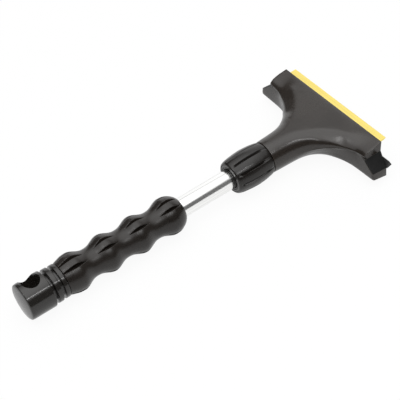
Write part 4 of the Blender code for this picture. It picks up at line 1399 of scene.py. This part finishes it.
@dataclass
class Studio:
    """The pale floor, the soft light and the world round the tool."""

    floor_size: float = 6.0
    floor_colour: Point = (0.82, 0.82, 0.82)
    floor_glow: float = 0.93
    far_side: Point = (0.75, 0.661, 0.0)
    dim_level: float = 0.16
    wall_level: float = 1.15
    overhead_level: float = 2.2
    ceiling_from: Pair = (0.58, 0.69)
    wall_from: Pair = (0.70, 0.82)
    overhead_from: Pair = (0.72, 0.96)
    lamps: tuple[Lamp, ...] = (Lamp("overhead_lamp", (-0.62, -0.03, 1.3), (0.14, 0.14), 0.8),
                               Lamp("strip_lamp", (-0.16, -0.96, 1.23), (1.36, 0.05), 3.5))

    def build_floor(self) -> Piece:
        """Makes the floor, which shows white to the camera and keeps a soft shadow.

        Returns:
            The floor object.
        """
        mesh = bpy.data.meshes.new("floor")
        half = self.floor_size / 2.0
        mesh.from_pydata([(-half, -half, 0.0), (half, -half, 0.0), (half, half, 0.0), (-half, half, 0.0)],
                         [], [(0, 1, 2, 3)])
        floor = bpy.data.objects.new("floor", mesh)
        bpy.context.scene.collection.objects.link(floor)
        mesh.materials.append(self.floor_finish())
        return floor

    def floor_finish(self) -> bpy.types.Material:
        """Pale matt paint that the camera sees as white.

        Returns:
            The floor's material.
        """
        material = bpy.data.materials.new("pale_floor")
        material.use_nodes = True
        pen = Pen(material.node_tree)
        paint = material.node_tree.nodes["Principled BSDF"]
        paint.inputs["Base Color"].default_value = (*self.floor_colour, 1.0)
        paint.inputs["Roughness"].default_value = 0.9
        glow = pen.add("Emission")
        path = pen.add("LightPath")
        seen = pen.math("MAXIMUM", path.outputs["Is Camera Ray"], path.outputs["Is Glossy Ray"])
        seen = pen.math("MAXIMUM", seen, path.outputs["Is Transmission Ray"])
        share = pen.math("MULTIPLY", seen, self.floor_glow)
        mix = pen.add("MixShader", {"0": share, "1": paint.outputs["BSDF"], "2": glow.outputs["Emission"]})
        output = material.node_tree.nodes["Material Output"]
        pen.tree.links.new(mix.outputs["Shader"], output.inputs["Surface"])
        return material

    def build_world(self) -> bpy.types.World:
        """Makes the world: white to the camera, and round the tool a bright ceiling and far wall.

        Returns:
            The world.
        """
        world = bpy.data.worlds.new("studio")
        world.use_nodes = True
        bpy.context.scene.world = world
        pen = Pen(world.node_tree)
        ray = pen.add("TexCoord").outputs["Generated"]
        height = pen.add("SeparateXYZ", {"Vector": ray}).outputs["Z"]
        facing = pen.add("VectorMath", {"0": ray, "1": self.far_side}, operation="DOT_PRODUCT")
        bright = self.wall_level - self.dim_level
        ceiling = pen.span(height, *self.ceiling_from, 0.0, bright)
        wall = pen.span(facing.outputs["Value"], *self.wall_from, 0.0, bright)
        overhead = pen.span(height, *self.overhead_from, 0.0, self.overhead_level - self.wall_level)
        lit = pen.math("ADD", pen.math("MAXIMUM", ceiling, wall), overhead)
        around = pen.math("ADD", lit, self.dim_level)
        seen = pen.add("LightPath").outputs["Is Camera Ray"]
        unseen = pen.math("MULTIPLY", around, pen.math("SUBTRACT", 1.0, seen))
        background = world.node_tree.nodes["Background"]
        background.inputs["Color"].default_value = (1.0, 1.0, 1.0, 1.0)
        pen.tree.links.new(pen.math("ADD", unseen, seen), background.inputs["Strength"])
        return world

    def build(self) -> None:
        """Builds the floor, the world and the lamps, and sets a plain view of colours."""
        bpy.context.scene.view_settings.view_transform = "Standard"
        self.build_floor()
        self.build_world()
        for lamp in self.lamps:
            lamp.build()


def main() -> None:
    """Builds the scene piece by piece and reports each one."""
    logging.basicConfig(level=logging.INFO, format="%(name)s: %(message)s")
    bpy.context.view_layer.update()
    screws = (Screw("neck_fixing_screw", "neck_screw", Body.HEAD, s=SCREW_S, turn=180.0, head_out=15.2,
                    head_height=2.3, tip=3.4, head_radius=3.2, shank_radius=1.7),
              Screw("cap_fixing_screw", "cap_screw", Body.HANDLE, s=EndCap.screw_s, turn=EndCap.twist + 180.0,
                    head_out=14.2, head_height=1.8, tip=3.0, head_radius=2.6, shank_radius=1.6))
    for part in (Grip(), EndCap(), Tubes(), TwistLock(), Head(), Blade(), ScrapingLip(), *screws,
                 InnerParts()):
        part.build()
    View().build()
    Studio().build()
    log.info("scene ready")


if __name__ == "__main__":
    main()
